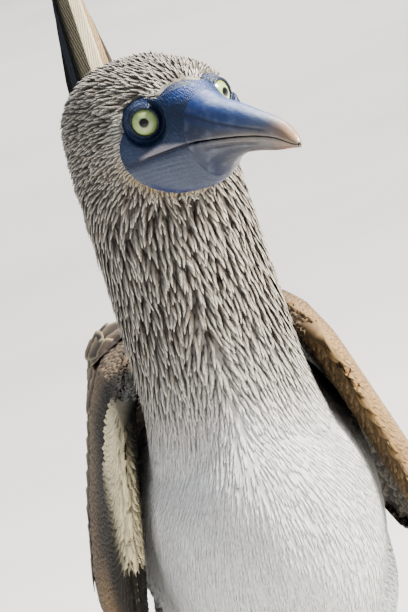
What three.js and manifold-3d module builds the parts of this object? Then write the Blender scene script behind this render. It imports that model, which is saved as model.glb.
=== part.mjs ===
// A blue footed booby standing on both feet, life size, in millimetres.
// The bird faces along -Y, its left side is +X and up is +Z.
import * as THREE from 'three';
import { mergeVertices } from 'three/addons/utils/BufferGeometryUtils.js';
import Module from 'manifold-3d';

const wasm = await Module();
wasm.setup();

// Driving sizes
const EYE_HEIGHT = 378;
const HEAD_TURN = 18.7;
const SEAM = 0.3;
const NECK_RADIUS = 39;
const EYE_RADIUS = 9;
const EYE_SPREAD = 16.2;
const EYE_FORWARD = 49.6;
const EYE_OUTWARD_TURN = 33;
const IRIS_OPENING = 6.2;
const TARSUS_RADIUS = 4.6;
const LEG_SPREAD = 40;
const TOE_HEIGHT = 8;
const WEB_THICKNESS = 1.8;
const WEB_LIFT = 0.7;
const SIDES = { body: 22, head: 20, limb: 10, eye: 16, toe: 7, claw: 5 };

const radians = THREE.MathUtils.degToRad;

// Colours
const FEATHER_CREAM = 0xcfc3a6;
const FEATHER_WHITE = 0xe4e3df;
const FEATHER_BROWN = 0x6b5542;
const FEATHER_DARK = 0x3a3230;
const SKIN_SLATE = 0x2b4058;
const BILL_BLUE = 0x5f7a9c;
const IRIS_YELLOW = 0xb5b45a;
const FOOT_BLUE = 0x3fa3c4;

// Solid helpers
function closedLoft(rings) {
  const count = rings[0].length;
  const positions = [];
  const faces = [];
  rings.forEach((ring) => ring.forEach((p) => positions.push(p.x, p.y, p.z)));
  for (let i = 0; i < rings.length - 1; i += 1) {
    for (let j = 0; j < count; j += 1) {
      const k = (j + 1) % count;
      const a = i * count + j;
      const b = i * count + k;
      const c = a + count;
      const d = b + count;
      faces.push(a, b, d, a, d, c);
    }
  }
  const addCap = (ringIndex, flip) => {
    const middle = new THREE.Vector3();
    rings[ringIndex].forEach((p) => middle.add(p));
    middle.divideScalar(count);
    const centre = positions.length / 3;
    positions.push(middle.x, middle.y, middle.z);
    for (let j = 0; j < count; j += 1) {
      const a = ringIndex * count + j;
      const b = ringIndex * count + ((j + 1) % count);
      if (flip) faces.push(centre, b, a);
      else faces.push(centre, a, b);
    }
  };
  addCap(0, true);
  addCap(rings.length - 1, false);
  let volume = 0;
  const corner = (index) => new THREE.Vector3().fromArray(positions, index * 3);
  for (let i = 0; i < faces.length; i += 3) {
    volume += corner(faces[i]).dot(corner(faces[i + 1]).cross(corner(faces[i + 2])));
  }
  if (volume < 0) {
    for (let i = 0; i < faces.length; i += 3) {
      [faces[i + 1], faces[i + 2]] = [faces[i + 2], faces[i + 1]];
    }
  }
  const geometry = new THREE.BufferGeometry();
  geometry.setAttribute('position', new THREE.Float32BufferAttribute(positions, 3));
  geometry.setIndex(faces);
  return geometry;
}

function solidOf(geometry) {
  const bare = geometry.clone();
  bare.deleteAttribute('normal');
  bare.deleteAttribute('uv');
  const merged = mergeVertices(bare, 1e-3);
  return new wasm.Manifold(new wasm.Mesh({
    numProp: 3,
    vertProperties: new Float32Array(merged.attributes.position.array),
    triVerts: new Uint32Array(merged.index.array),
  }));
}

function largestBody(solid) {
  const bodies = solid.decompose();
  return bodies.reduce((best, body) => (body.volume() > best.volume() ? body : best));
}

function addAll(solids) {
  return solids.reduce((sum, solid) => sum.add(solid));
}

// Rows of numbers are eased into more rows along a smooth curve
function easedRows(rows, steps) {
  const result = [];
  for (let i = 0; i < rows.length - 1; i += 1) {
    const before = rows[Math.max(i - 1, 0)];
    const start = rows[i];
    const end = rows[i + 1];
    const after = rows[Math.min(i + 2, rows.length - 1)];
    for (let s = 0; s < steps; s += 1) {
      const t = s / steps;
      result.push(start.map((value, k) => {
        const slopeIn = (end[k] - before[k]) / 2;
        const slopeOut = (after[k] - value) / 2;
        const t2 = t * t;
        const t3 = t2 * t;
        return (2 * t3 - 3 * t2 + 1) * value + (t3 - 2 * t2 + t) * slopeIn
          + (3 * t2 - 2 * t3) * end[k] + (t3 - t2) * slopeOut;
      }));
    }
  }
  result.push(rows[rows.length - 1]);
  return result;
}

// An oval ring whose upper and lower halves may have their own heights
function ovalRing(centre, across, upward, half, above, below, sides) {
  const ring = [];
  for (let i = 0; i < sides; i += 1) {
    const angle = (i / sides) * Math.PI * 2;
    const rise = Math.sin(angle);
    ring.push(centre.clone()
      .addScaledVector(across, half * Math.cos(angle))
      .addScaledVector(upward, rise * (rise > 0 ? above : below)));
  }
  return ring;
}

const AXIS_X = new THREE.Vector3(1, 0, 0);
const AXIS_Y = new THREE.Vector3(0, 1, 0);
const AXIS_Z = new THREE.Vector3(0, 0, 1);

// Rows of y, z of the axis, half width, height above it and depth below it
function bodyLoft(rows, steps, growth) {
  const rings = easedRows(rows, steps).map(([y, z, half, above, below]) => ovalRing(
    new THREE.Vector3(0, y, z), AXIS_X, AXIS_Z, half + growth, above + growth,
    below + growth, SIDES.body,
  ));
  return solidOf(closedLoft(rings));
}

// Rows of z, y of the axis, half width, reach forward and reach back
function columnLoft(rows, steps, growth) {
  const rings = easedRows(rows, steps).map(([z, y, half, front, back]) => ovalRing(
    new THREE.Vector3(0, y, z), AXIS_X, AXIS_Y, half + growth, back + growth,
    front + growth, SIDES.body,
  ));
  return solidOf(closedLoft(rings));
}

// Rows of x, y, z and the radii across and along of a round limb
function limbLoft(rows, steps, across, along, sides, growth = 0) {
  const rings = easedRows(rows, steps).map(([x, y, z, wide, deep]) => ovalRing(
    new THREE.Vector3(x, y, z), across, along, wide + growth, deep + growth,
    deep + growth, sides,
  ));
  return solidOf(closedLoft(rings));
}

function ball(radius, centre, sides) {
  const geometry = new THREE.SphereGeometry(radius, sides, Math.round(sides * 0.7));
  return solidOf(geometry).translate([centre.x, centre.y, centre.z]);
}

// Body, from the breast to the root of the tail
const BODY_ROWS = [
  [-47, 184, 5, 7, 7],
  [-41, 182, 25, 32, 32],
  [-26, 177, 42, 54, 52],
  [0, 172, 54, 70, 70],
  [34, 167, 58, 83, 82],
  [74, 165, 63, 86, 87],
  [114, 165, 66, 86, 88],
  [154, 168, 62, 82, 84],
  [190, 180, 52, 68, 70],
  [220, 198, 38, 50, 54],
  [244, 214, 24, 34, 36],
  [256, 222, 10, 16, 16],
];

// Neck, from inside the breast to the crown
const NECK_ROWS = [
  [180, 26, 51, 64, 62],
  [196, 20, 49.6, 60, 58],
  [215, 13, 46, 52, 52],
  [235, 7, 42, 44, 46],
  [258, 2, 39.6, 39, 41],
  [290, 0, NECK_RADIUS, 37, 38],
  [325, 0, NECK_RADIUS, 37, 38],
  [352, -1, NECK_RADIUS, 38, 37],
  [368, -3, 38.6, 37, 35],
  [382, -5, 36, 34, 31],
  [393, -7, 29, 28, 24],
  [400, -9, 18, 18, 15],
  [402, -10, 6, 7, 6],
];

// Head and bill, forward of the neck: forward, axis height, half width, rise and drop
const HEAD_ROWS = [
  [-4, -6, 36, 26, 40],
  [12, -6, 38.6, 30, 41],
  [28, -7, 38, 31.5, 38],
  [40, -8, 34.4, 30.6, 34],
  [50, -9, 28.6, 28, 31],
  [58, -9, 23, 24.6, 28],
  [66, -9, 17.6, 21.4, 25.6],
  [74, -9.5, 14.8, 19, 24],
  [82, -10.5, 13.2, 17.4, 19.6],
  [92, -10.5, 11.6, 15, 14.6],
  [110, -10.5, 9.6, 12.6, 10],
  [128, -10.5, 7.4, 9.4, 8.7],
  [144, -11, 5.7, 7, 8.1],
  [154.5, -12, 4.2, 4.9, 6.4],
  [161.5, -14, 2.6, 2.6, 4],
  [165, -16.4, 1, 1, 1.4],
];

// The line of the mouth: forward and height
const MOUTH_ROWS = [
  [38, -18],
  [50, -16.2],
  [70, -13.4],
  [85, -11.8],
  [110, -10.8],
  [130, -10.6],
  [145, -11.2],
  [154, -12.6],
  [161, -15],
  [172, -19.4],
];

function headLoft(growth) {
  const rings = easedRows(HEAD_ROWS, 1).map(([forward, z, half, above, below]) => ovalRing(
    new THREE.Vector3(0, -forward, z), AXIS_X, AXIS_Z, half + growth, above + growth,
    below + growth, SIDES.head,
  ));
  return solidOf(closedLoft(rings));
}

function placeHead(solid) {
  return solid.rotate([0, 0, HEAD_TURN]).translate([0, 0, EYE_HEIGHT]);
}

// A thin curved slab across the head along the line of the mouth
function mouthSlab(thickness) {
  const rows = easedRows(MOUTH_ROWS, 2);
  const outline = [
    ...rows.map(([forward, z]) => new THREE.Vector2(forward, z + thickness / 2)),
    ...rows.slice().reverse().map(([forward, z]) => new THREE.Vector2(forward, z - thickness / 2)),
  ];
  return mouthPrism(outline);
}

// A prism across the head from an outline of forward and height
function mouthPrism(outline) {
  const reach = 60;
  const ringAt = (x) => outline.map((p) => new THREE.Vector3(x, -p.x, p.y));
  const flat = outline.map((p) => new THREE.Vector2(p.x, p.y));
  const triangles = THREE.ShapeUtils.triangulateShape(flat, []);
  const count = outline.length;
  const points = [...ringAt(-reach), ...ringAt(reach)];
  const faces = [];
  triangles.forEach(([a, b, c]) => faces.push(a, b, c, count + a, count + c, count + b));
  const turned = THREE.ShapeUtils.isClockWise(flat);
  for (let i = 0; i < count; i += 1) {
    const j = (i + 1) % count;
    if (turned) faces.push(i, j, count + j, i, count + j, count + i);
    else faces.push(i, count + j, j, i, count + i, count + j);
  }
  const geometry = new THREE.BufferGeometry().setFromPoints(points);
  geometry.setIndex(faces);
  return solidOf(geometry);
}

const torsoForm = bodyLoft(BODY_ROWS, 2, 0);
const torsoClearance = bodyLoft(BODY_ROWS, 2, SEAM);
const neckForm = columnLoft(NECK_ROWS, 2, 0);
const neckClearance = columnLoft(NECK_ROWS, 2, SEAM);

// The flesh of head, neck and body is one form, cut into its parts by thin gaps
const HEAD_CUT = 338;
const NECK_CUT = 296;
const BASE_CUT = { height: 238, lean: 30 };
const FACE_CUT = { forward: 70, sweep: 0.64, slope: 0.2 };
const BILL_CUT = { forward: 81, lean: 12 };

function above(solid, normal, offset) {
  return solid.trimByPlane([normal.x, normal.y, normal.z], offset + SEAM / 2);
}

function below(solid, normal, offset) {
  return solid.trimByPlane([-normal.x, -normal.y, -normal.z], -offset + SEAM / 2);
}

const baseNormal = new THREE.Vector3(
  0,
  -Math.sin(radians(BASE_CUT.lean)),
  Math.cos(radians(BASE_CUT.lean)),
);
const baseOffset = BASE_CUT.height * baseNormal.z;

// A wedge ahead of the feathered cheeks, for the bare face
function facePrism(growth) {
  const reach = 60;
  const ringAt = (z) => {
    const shift = FACE_CUT.forward + FACE_CUT.slope * (z - 13) - growth;
    return [
      new THREE.Vector3(0, -shift, z),
      new THREE.Vector3(reach, -(shift - FACE_CUT.sweep * reach), z),
      new THREE.Vector3(reach, -200, z),
      new THREE.Vector3(-reach, -200, z),
      new THREE.Vector3(-reach, -(shift - FACE_CUT.sweep * reach), z),
    ];
  };
  return solidOf(closedLoft([ringAt(-80), ringAt(60)]));
}

const billNormal = new THREE.Vector3(
  0,
  -Math.cos(radians(BILL_CUT.lean)),
  Math.sin(radians(BILL_CUT.lean)),
);
const billOffset = BILL_CUT.forward * -billNormal.y;

// Where each eye sits in the frame of the head, and the way it looks
function eyeFrame(side) {
  const turn = radians(EYE_OUTWARD_TURN);
  const look = new THREE.Vector3(side * Math.sin(turn), -Math.cos(turn), 0.04).normalize();
  const centre = new THREE.Vector3(side * EYE_SPREAD, -EYE_FORWARD, 0);
  return { look, centre };
}

function turnTo(geometry, direction) {
  const turn = new THREE.Quaternion().setFromUnitVectors(AXIS_Z, direction);
  return geometry.applyQuaternion(turn);
}

function lidRing(side) {
  const { look, centre } = eyeFrame(side);
  const ring = turnTo(new THREE.TorusGeometry(IRIS_OPENING + 1.2, 1.5, 6, 16), look);
  const seat = centre.clone().addScaledVector(look, EYE_RADIUS - 2.5);
  ring.translate(seat.x, seat.y, seat.z);
  return solidOf(ring);
}

function lidOpening(side) {
  const { look, centre } = eyeFrame(side);
  const cone = new THREE.CylinderGeometry(IRIS_OPENING + 5, IRIS_OPENING, 8, 16);
  cone.rotateX(Math.PI / 2);
  turnTo(cone, look);
  const seat = centre.clone().addScaledVector(look, EYE_RADIUS + 1.2);
  cone.translate(seat.x, seat.y, seat.z);
  return solidOf(cone);
}

const headLocal = headLoft(0);
let skull = headLocal;
[1, -1].forEach((side) => {
  skull = skull.add(lidRing(side));
});
[1, -1].forEach((side) => {
  const { centre } = eyeFrame(side);
  skull = skull.subtract(ball(EYE_RADIUS + SEAM, centre, SIDES.eye)).subtract(lidOpening(side));
});

const billWhole = above(skull, billNormal, billOffset).subtract(mouthSlab(SEAM));
const faceWhole = below(skull, billNormal, billOffset)
  .intersect(facePrism(0)).subtract(mouthSlab(SEAM));

function partsByHeight(solid) {
  const middle = (body) => {
    const box = body.boundingBox();
    return (box.min[2] + box.max[2]) / 2;
  };
  const bodies = solid.decompose().sort((a, b) => b.volume() - a.volume()).slice(0, 2);
  bodies.sort((a, b) => middle(b) - middle(a));
  return bodies;
}

const [billUpper, billLower] = partsByHeight(billWhole);
const [faceUpper, faceLower] = partsByHeight(faceWhole);

const skullBack = placeHead(headLocal.subtract(facePrism(SEAM))
  .subtract(ball(EYE_RADIUS + SEAM, eyeFrame(1).centre, SIDES.eye))
  .subtract(ball(EYE_RADIUS + SEAM, eyeFrame(-1).centre, SIDES.eye)));
const faceRoom = placeHead(facePrism(SEAM));
const neckBare = neckForm.subtract(faceRoom)
  .subtract(placeHead(ball(EYE_RADIUS + SEAM, eyeFrame(1).centre, SIDES.eye)))
  .subtract(placeHead(ball(EYE_RADIUS + SEAM, eyeFrame(-1).centre, SIDES.eye)));
const upright = skullBack.add(neckBare);

const head = largestBody(above(upright, AXIS_Z, HEAD_CUT));
const neckUpper = largestBody(above(below(upright, AXIS_Z, HEAD_CUT), AXIS_Z, NECK_CUT));

// Tail: rows of z, x and y of the axis, half width and half thickness
const TAIL_ROWS = [
  [226, 0, 238, 18.6, 7.6],
  [250, -0.6, 243, 18.6, 7],
  [300, -1.8, 248, 13, 2.6],
  [340, -2, 248.6, 9, 1.6],
];
const TAIL_CUT = 268;

// Rump and tail coverts: rows of z, y of the axis, half width, reach forward and back
const COVERT_ROWS = [
  [206, 226, 22, 22, 24],
  [230, 236, 24, 18, 18],
  [252, 243, 22.6, 12.4, 12.4],
  [272, 246, 20.6, 9, 9],
  [284, 247, 18, 7, 7],
];

function tailLoft(growth) {
  return limbLoft(
    TAIL_ROWS.map(([z, x, y, half, thick]) => [x, y, z, half, thick]),
    2,
    AXIS_X,
    AXIS_Y,
    20,
    growth,
  );
}

const covertForm = columnLoft(COVERT_ROWS, 2, 0);
const covertClearance = columnLoft(COVERT_ROWS, 2, SEAM);
const RUMP_CUT = 206;
const trunk = torsoForm.add(neckForm.trimByPlane([0, 0, -1], -290)).add(covertForm);
const neckLower = largestBody(below(above(
  neckForm,
  baseNormal,
  baseOffset,
), AXIS_Z, NECK_CUT));
const belowNeck = below(trunk, baseNormal, baseOffset);
const behindNeck = above(trunk, baseNormal, baseOffset).trimByPlane([0, 1, 0], 120);
const mantle = belowNeck.add(behindNeck);
const torso = largestBody(below(mantle, AXIS_Y, RUMP_CUT));
const rump = largestBody(above(mantle, AXIS_Y, RUMP_CUT).trimByPlane([0, 0, -1], -TAIL_CUT + SEAM / 2));

// Legs
const THIGH_ROWS = [
  [34, 112, 128, 28, 40],
  [37, 118, 104, 24, 33],
  [39.4, 126, 86, 17, 23],
  [LEG_SPREAD, 133, 72, 11, 14],
  [LEG_SPREAD, 136, 64, 8.4, 10],
];
const TARSUS_ROWS = [
  [LEG_SPREAD, 136.6, 66, 5, 6],
  [LEG_SPREAD, 137, 60, 6.6, 8],
  [LEG_SPREAD, 135.4, 53, 5.6, 7],
  [LEG_SPREAD, 131, 42, TARSUS_RADIUS, 5.8],
  [LEG_SPREAD, 126, 28, TARSUS_RADIUS, 5.6],
  [LEG_SPREAD, 122.6, 18, 5.4, 6.4],
  [LEG_SPREAD, 121, 12, 5.8, 7],
];
const THIGH_CUT = 63;
const FOOT_CUT = 16;
const FOOT_JOINT = new THREE.Vector3(LEG_SPREAD, 120, 5.4);
const FOOT_TURN = 6;

// Toes: turn outward from straight ahead, length, radius at root and tip, claw length
const TOES = [
  { name: 'inner', turn: -24, length: 56, root: 4.6, tip: 3, claw: 9 },
  { name: 'middle', turn: 1, length: 80, root: 5, tip: 3, claw: 10 },
  { name: 'outer', turn: 23, length: 84, root: 4.8, tip: 2.8, claw: 9 },
  { name: 'hind', turn: -104, length: 20, root: 3.8, tip: 2.6, claw: 7 },
];

function toeWay(toe) {
  const angle = radians(toe.turn + FOOT_TURN);
  return new THREE.Vector3(Math.sin(angle), -Math.cos(angle), 0);
}

function toeSolid(toe) {
  const way = toeWay(toe);
  const across = new THREE.Vector3(-way.y, way.x, 0);
  const knuckles = [0, 0.3, 0.46, 0.62, 0.9, 1];
  const swell = [1.1, 1.12, 0.9, 1.1, 1.1, 0.7];
  const rings = knuckles.map((along, i) => {
    const radius = THREE.MathUtils.lerp(toe.root, toe.tip, along) * swell[i];
    const centre = FOOT_JOINT.clone().addScaledVector(way, toe.length * along);
    centre.z = radius * 0.86;
    return ovalRing(centre, across, AXIS_Z, radius, radius, radius, SIDES.toe);
  });
  return solidOf(closedLoft(rings));
}

function clawSolid(toe) {
  const way = toeWay(toe);
  const across = new THREE.Vector3(-way.y, way.x, 0);
  const rings = [0, 0.5, 1].map((along, i) => {
    const radius = [2, 1.6, 0.4][i];
    const centre = FOOT_JOINT.clone()
      .addScaledVector(way, toe.length - 2 + (toe.claw + 2) * along);
    centre.z = [2.9, 3.1, 0.6][i];
    return ovalRing(centre, across, AXIS_Z, radius * 0.8, radius, radius, SIDES.claw);
  });
  return solidOf(closedLoft(rings));
}

function webSolid() {
  const tips = ['outer', 'middle', 'inner', 'hind'].map((name) => {
    const toe = TOES.find((entry) => entry.name === name);
    return FOOT_JOINT.clone().addScaledVector(toeWay(toe), toe.length - 3);
  });
  const outline = new THREE.Shape();
  outline.moveTo(FOOT_JOINT.x + 4, FOOT_JOINT.y);
  outline.lineTo(tips[0].x, tips[0].y);
  const sag = [0.16, 0.14, 0.34];
  for (let i = 0; i < 3; i += 1) {
    const middle = tips[i].clone().lerp(tips[i + 1], 0.5).lerp(FOOT_JOINT, sag[i]);
    const pull = middle.multiplyScalar(2).sub(tips[i].clone().lerp(tips[i + 1], 0.5));
    outline.quadraticCurveTo(pull.x, pull.y, tips[i + 1].x, tips[i + 1].y);
  }
  outline.lineTo(FOOT_JOINT.x, FOOT_JOINT.y + 4);
  outline.closePath();
  const sheet = new THREE.ExtrudeGeometry(outline, {
    depth: WEB_THICKNESS,
    bevelEnabled: false,
    curveSegments: 6,
  });
  return solidOf(sheet).translate([0, 0, WEB_LIFT]);
}

const anklePlug = limbLoft([
  [LEG_SPREAD, 121, FOOT_CUT + 3, 5.4, 6.4],
  [LEG_SPREAD, 120.4, 8, 6.2, 7.4],
  [LEG_SPREAD, 119.6, 1, 5, 6],
], 2, AXIS_X, AXIS_Y, SIDES.limb);
const toeSolids = TOES.map(toeSolid);
const clawSolids = TOES.map(clawSolid);
const footWhole = addAll([anklePlug, webSolid(), ...toeSolids, ...clawSolids])
  .trimByPlane([0, 0, 1], 0);
const footLeft = largestBody(footWhole.trimByPlane([0, 0, -1], -FOOT_CUT + SEAM / 2));
const tarsusLeft = limbLoft(TARSUS_ROWS, 2, AXIS_X, AXIS_Y, SIDES.limb)
  .trimByPlane([0, 0, 1], FOOT_CUT + SEAM / 2)
  .trimByPlane([0, 0, -1], -THIGH_CUT + SEAM / 2);
const thighLeft = largestBody(limbLoft(THIGH_ROWS, 2, AXIS_X, AXIS_Y, 18)
  .subtract(torsoClearance)
  .trimByPlane([0, 0, 1], THIGH_CUT + SEAM / 2)
  .trimByPlane([0, 0, -1], -112));

// Wings: for each station back along the body, half thickness and the line of the section
const WING_LINE_POINTS = 7;
const WING_ROWS = [
  [-1, 1.2, 50, 247, 54, 235, 58, 217, 62.5, 199, 66, 181, 69.6, 163, 72, 149],
  [3, 4.6, 47.4, 251, 51.6, 237, 57, 218, 62, 199, 66.4, 179, 70.6, 159, 73, 143],
  [12, 7, 45, 255, 50.6, 238, 56.6, 218, 62, 198, 67.2, 176, 72, 154, 75, 137],
  [30, 7.4, 41, 258, 50, 243, 57, 223, 63, 202, 69.6, 178, 75, 154, 77, 130],
  [56, 7.2, 36, 261, 47, 253, 54.5, 236, 60.5, 214, 68, 188, 77, 158, 80, 126],
  [90, 7, 30, 261, 47, 252, 55, 234, 61.5, 211, 70.5, 184, 78.5, 154, 80, 121],
  [130, 6.2, 24, 259, 44, 251, 54, 232, 61, 209, 70.5, 181, 78, 152, 77, 118],
  [170, 5.4, 24, 256, 40, 248, 51.5, 230, 59.5, 207, 68, 181, 74, 154, 71, 123],
  [210, 4.6, 30, 252, 40, 245, 49, 229, 56, 208, 62, 184, 65.5, 160, 64, 137],
  [250, 3.6, 35, 247, 41, 241, 47, 227, 51.5, 210, 55, 192, 56.5, 174, 56, 158],
  [290, 2.8, 36, 240, 41, 236, 45, 226, 48, 213, 50, 200, 51, 188, 50, 178],
  [330, 2, 37, 232, 40, 228, 43, 221, 45, 213, 46, 206, 46, 199, 45, 193],
  [362, 1.2, 38, 224, 40, 221, 41, 217, 42, 213, 42, 209, 42, 206, 42, 203],
  [380, 0.7, 38.6, 218, 39.4, 216, 40, 214, 40.4, 212, 40.4, 210, 40.4, 208, 40, 207],
];
const WING_SEAT = { left: [0.5, 0, 0], right: [-0.5, 0, -7] };

function wingRing(row) {
  const [y, half, ...flat] = row;
  const line = [];
  for (let i = 0; i < WING_LINE_POINTS; i += 1) {
    line.push(new THREE.Vector2(flat[i * 2], flat[i * 2 + 1]));
  }
  const outer = [];
  const inner = [];
  line.forEach((point, i) => {
    const ahead = line[Math.min(i + 1, line.length - 1)];
    const behind = line[Math.max(i - 1, 0)];
    const along = ahead.clone().sub(behind).normalize();
    const normal = new THREE.Vector2(-along.y, along.x);
    const edge = i === 0 || i === line.length - 1 ? 0.45 : 1;
    const inset = point.clone();
    outer.push(inset.clone().addScaledVector(normal, half * edge));
    inner.push(inset.clone().addScaledVector(normal, -half * edge));
  });
  return [...outer, ...inner.reverse()].map((p) => new THREE.Vector3(p.x, y, p.y));
}

const wingForm = solidOf(closedLoft(easedRows(WING_ROWS, 2).map(wingRing)));
const shoulderLump = ball(1, new THREE.Vector3(0, 0, 0), 16)
  .scale([20, 44, 30]).translate([50, 66, 208]);

// The folded wing is cut into coverts, secondaries and primaries
const COVERT_PLANE = { normal: new THREE.Vector3(0, 0.86, -0.5).normalize(), at: 150 };
const PRIMARY_PLANE = { normal: new THREE.Vector3(0, 0.8, -0.6).normalize(), at: 265 };
const planeOffset = (plane) => plane.normal.dot(new THREE.Vector3(0, plane.at, 200));
const covertOffset = planeOffset(COVERT_PLANE);
const primaryOffset = planeOffset(PRIMARY_PLANE);

// A point on the outer side of the folded wing: back along it and down it from 0 to 1
const WING_STATIONS = easedRows(WING_ROWS, 6);

function wingSurface(back, down) {
  const last = WING_STATIONS.length - 2;
  let k = WING_STATIONS.findIndex((row) => row[0] > back) - 1;
  if (k < 0) k = back < WING_STATIONS[0][0] ? 0 : last;
  const low = WING_STATIONS[k];
  const high = WING_STATIONS[k + 1];
  const share = (back - low[0]) / (high[0] - low[0]);
  const row = low.map((value, i) => value + (high[i] - value) * share);
  const place = Math.min(Math.max(down, 0), 1) * (WING_LINE_POINTS - 1);
  const seg = Math.min(Math.floor(place), WING_LINE_POINTS - 2);
  const within = down * (WING_LINE_POINTS - 1) - seg;
  const at = (i) => new THREE.Vector2(row[2 + i * 2], row[3 + i * 2]);
  const along = at(seg + 1).sub(at(seg));
  const point = at(seg).addScaledVector(along, within);
  const normal = new THREE.Vector2(-along.y, along.x).normalize();
  const half = Math.max(row[1], 0.5) * (down > 0.94 ? 0.5 : 1);
  point.addScaledVector(normal, half);
  return {
    point: new THREE.Vector3(point.x, row[0], point.y),
    normal: new THREE.Vector3(normal.x, 0, normal.y),
    across: new THREE.Vector3(along.x, 0, along.y).normalize(),
  };
}

// A vane laid on the wing: sunk at its root, lifted towards a rounded or pointed tip
const VANE_SHARES = [0, 0.4, 0.78, 1];
const VANE_WIDTHS = { round: [0.6, 1, 0.94, 0.25], point: [0.6, 1, 0.7, 0.1] };

function wingVane({ root, tip, width, lift, shape }, growth) {
  const rings = VANE_SHARES.map((share, i) => {
    const reach = share === 1 ? 2 * growth : 0;
    const back = THREE.MathUtils.lerp(root[0], tip[0], share) + reach;
    const down = THREE.MathUtils.lerp(root[1], tip[1], share);
    const { point, normal, across } = wingSurface(back, down);
    const half = (width / 2) * VANE_WIDTHS[shape][i] + 2 * growth;
    const height = lift * (0.25 + 0.75 * share) + growth;
    const floor = (share > 0.9 ? height - 0.8 : -1.6) - 2 * growth;
    const edge = height - growth - (share > 0.9 ? 0.4 : 0.7);
    return [
      point.clone().addScaledVector(across, -half).addScaledVector(normal, edge),
      point.clone().addScaledVector(normal, height),
      point.clone().addScaledVector(across, half).addScaledVector(normal, edge),
      point.clone().addScaledVector(normal, floor),
    ];
  });
  return solidOf(closedLoft(rings));
}

// Tiers of wing feathers, each row a named size
const WING_TIERS = [
  { part: 'arm', count: 6, from: [112, 0.08], to: [84, 0.88], length: 52, slant: 0.1, width: 25, lift: 1.6 },
  { part: 'rear', count: 5, from: [168, 0.08], to: [130, 0.92], length: 64, slant: 0.08, width: 28, lift: 1.4 },
  { part: 'rear', count: 4, from: [206, 0.12], to: [178, 0.97], length: 70, slant: 0.04, width: 22, lift: 1.2 },
];
const HAND_QUILLS = { from: [236, 0.12], to: [218, 0.96], width: 14, lift: 1.2 };
const HAND_TIPS = [306, 334, 360, 384, 404];

const TIER_STAGGER = 0.35;
const VANE_ROOM = 0.5;

function tierVanes(part) {
  return WING_TIERS.filter((tier) => tier.part === part).flatMap((tier) => {
    const vanes = [];
    for (let i = 0; i < tier.count; i += 1) {
      const share = i / (tier.count - 1);
      const back = THREE.MathUtils.lerp(tier.from[0], tier.to[0], share);
      const down = THREE.MathUtils.lerp(tier.from[1], tier.to[1], share);
      vanes.push({
        root: [back, down],
        tip: [back + tier.length, down + tier.slant * (1 - down) * 0.6],
        width: tier.width,
        lift: tier.lift + TIER_STAGGER * (i % 2),
        shape: 'round',
      });
    }
    return vanes;
  });
}

function handVanes() {
  return HAND_TIPS.map((tipBack, i) => {
    const order = 1 - i / (HAND_TIPS.length - 1);
    const back = THREE.MathUtils.lerp(HAND_QUILLS.from[0], HAND_QUILLS.to[0], order);
    const down = THREE.MathUtils.lerp(HAND_QUILLS.from[1], HAND_QUILLS.to[1], order);
    return {
      root: [back, down],
      tip: [tipBack, 0.5 + (down - 0.5) * (0.4 + 0.5 * order)],
      width: HAND_QUILLS.width,
      lift: HAND_QUILLS.lift + TIER_STAGGER * (i % 2),
      shape: 'point',
    };
  });
}

// The folded wing with its tiers, cut into coverts, secondaries and primaries
function builtWing() {
  const form = wingForm.add(shoulderLump);
  const armList = tierVanes('arm');
  const rearList = tierVanes('rear');
  const handList = handVanes();
  const vanesOf = (list, growth) => addAll(list.map((vane) => wingVane(vane, growth)));
  const armRoom = vanesOf(armList, VANE_ROOM);
  const rearRoom = vanesOf(rearList, VANE_ROOM);
  const behindArm = (solid) => above(solid, COVERT_PLANE.normal, covertOffset);
  const behindRear = (solid) => above(solid, PRIMARY_PLANE.normal, primaryOffset);
  const handForm = form.add(vanesOf(handList, 0));
  return {
    coverts: below(form, COVERT_PLANE.normal, covertOffset).add(vanesOf(armList, 0)),
    secondaries: below(behindArm(form), PRIMARY_PLANE.normal, primaryOffset)
      .add(behindArm(vanesOf(rearList, 0))).subtract(armRoom),
    primaries: behindRear(handForm).subtract(armRoom).subtract(rearRoom),
  };
}

// Each wing is set beside the body and cleared from it
function seatWing(solid, seat) {
  return largestBody(solid.translate(seat)
    .subtract(torsoClearance).subtract(neckClearance).subtract(covertClearance));
}

// Tail feathers: layers of vanes stepped from the middle pair to the outer pair
const TAIL_LAYERS = 5;
const TAIL_STEP = { side: 2.3, tip: 13, depth: 0.9, thickness: 1.25 };
const TAIL_VANE = { half: 6.4, rootHeight: 262, topHeight: 456 };
const TAIL_SHARES = [0, 0.4, 0.75, 0.92, 1];
const TAIL_WIDTHS = [0.9, 1.12, 0.94, 0.56, 0.06];

function tailVane(layer, side) {
  const top = TAIL_VANE.topHeight - TAIL_STEP.tip * layer;
  const rings = TAIL_SHARES.map((share, i) => {
    const z = THREE.MathUtils.lerp(TAIL_VANE.rootHeight, top, share);
    const spread = TAIL_STEP.side * (layer + 0.45) * side * (1.15 - 0.5 * share);
    const x = -2 + 2 * Math.max(0, 1 - share * 2) + spread;
    const y = 243 + 3.4 * Math.sin(Math.PI * Math.min(share * 0.9 + 0.1, 1));
    const front = y + TAIL_STEP.depth * layer + (side > 0 ? 0.4 : 0);
    const half = TAIL_VANE.half * TAIL_WIDTHS[i];
    return [
      new THREE.Vector3(x - half, front + 0.5, z),
      new THREE.Vector3(x, front, z),
      new THREE.Vector3(x + half, front + 0.5, z),
      new THREE.Vector3(x, front + TAIL_STEP.thickness, z),
    ];
  });
  return solidOf(closedLoft(rings));
}

const tailVanes = [];
for (let layer = 0; layer < TAIL_LAYERS; layer += 1) {
  tailVanes.push(tailVane(layer, -1), tailVane(layer, 1));
}
const tailCore = tailLoft(0).trimByPlane([0, 0, -1], -330);
const tail = largestBody(above(addAll([tailCore, ...tailVanes]), AXIS_Z, TAIL_CUT));

// The group of named meshes
const booby = new THREE.Group();
booby.name = 'booby';

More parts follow.
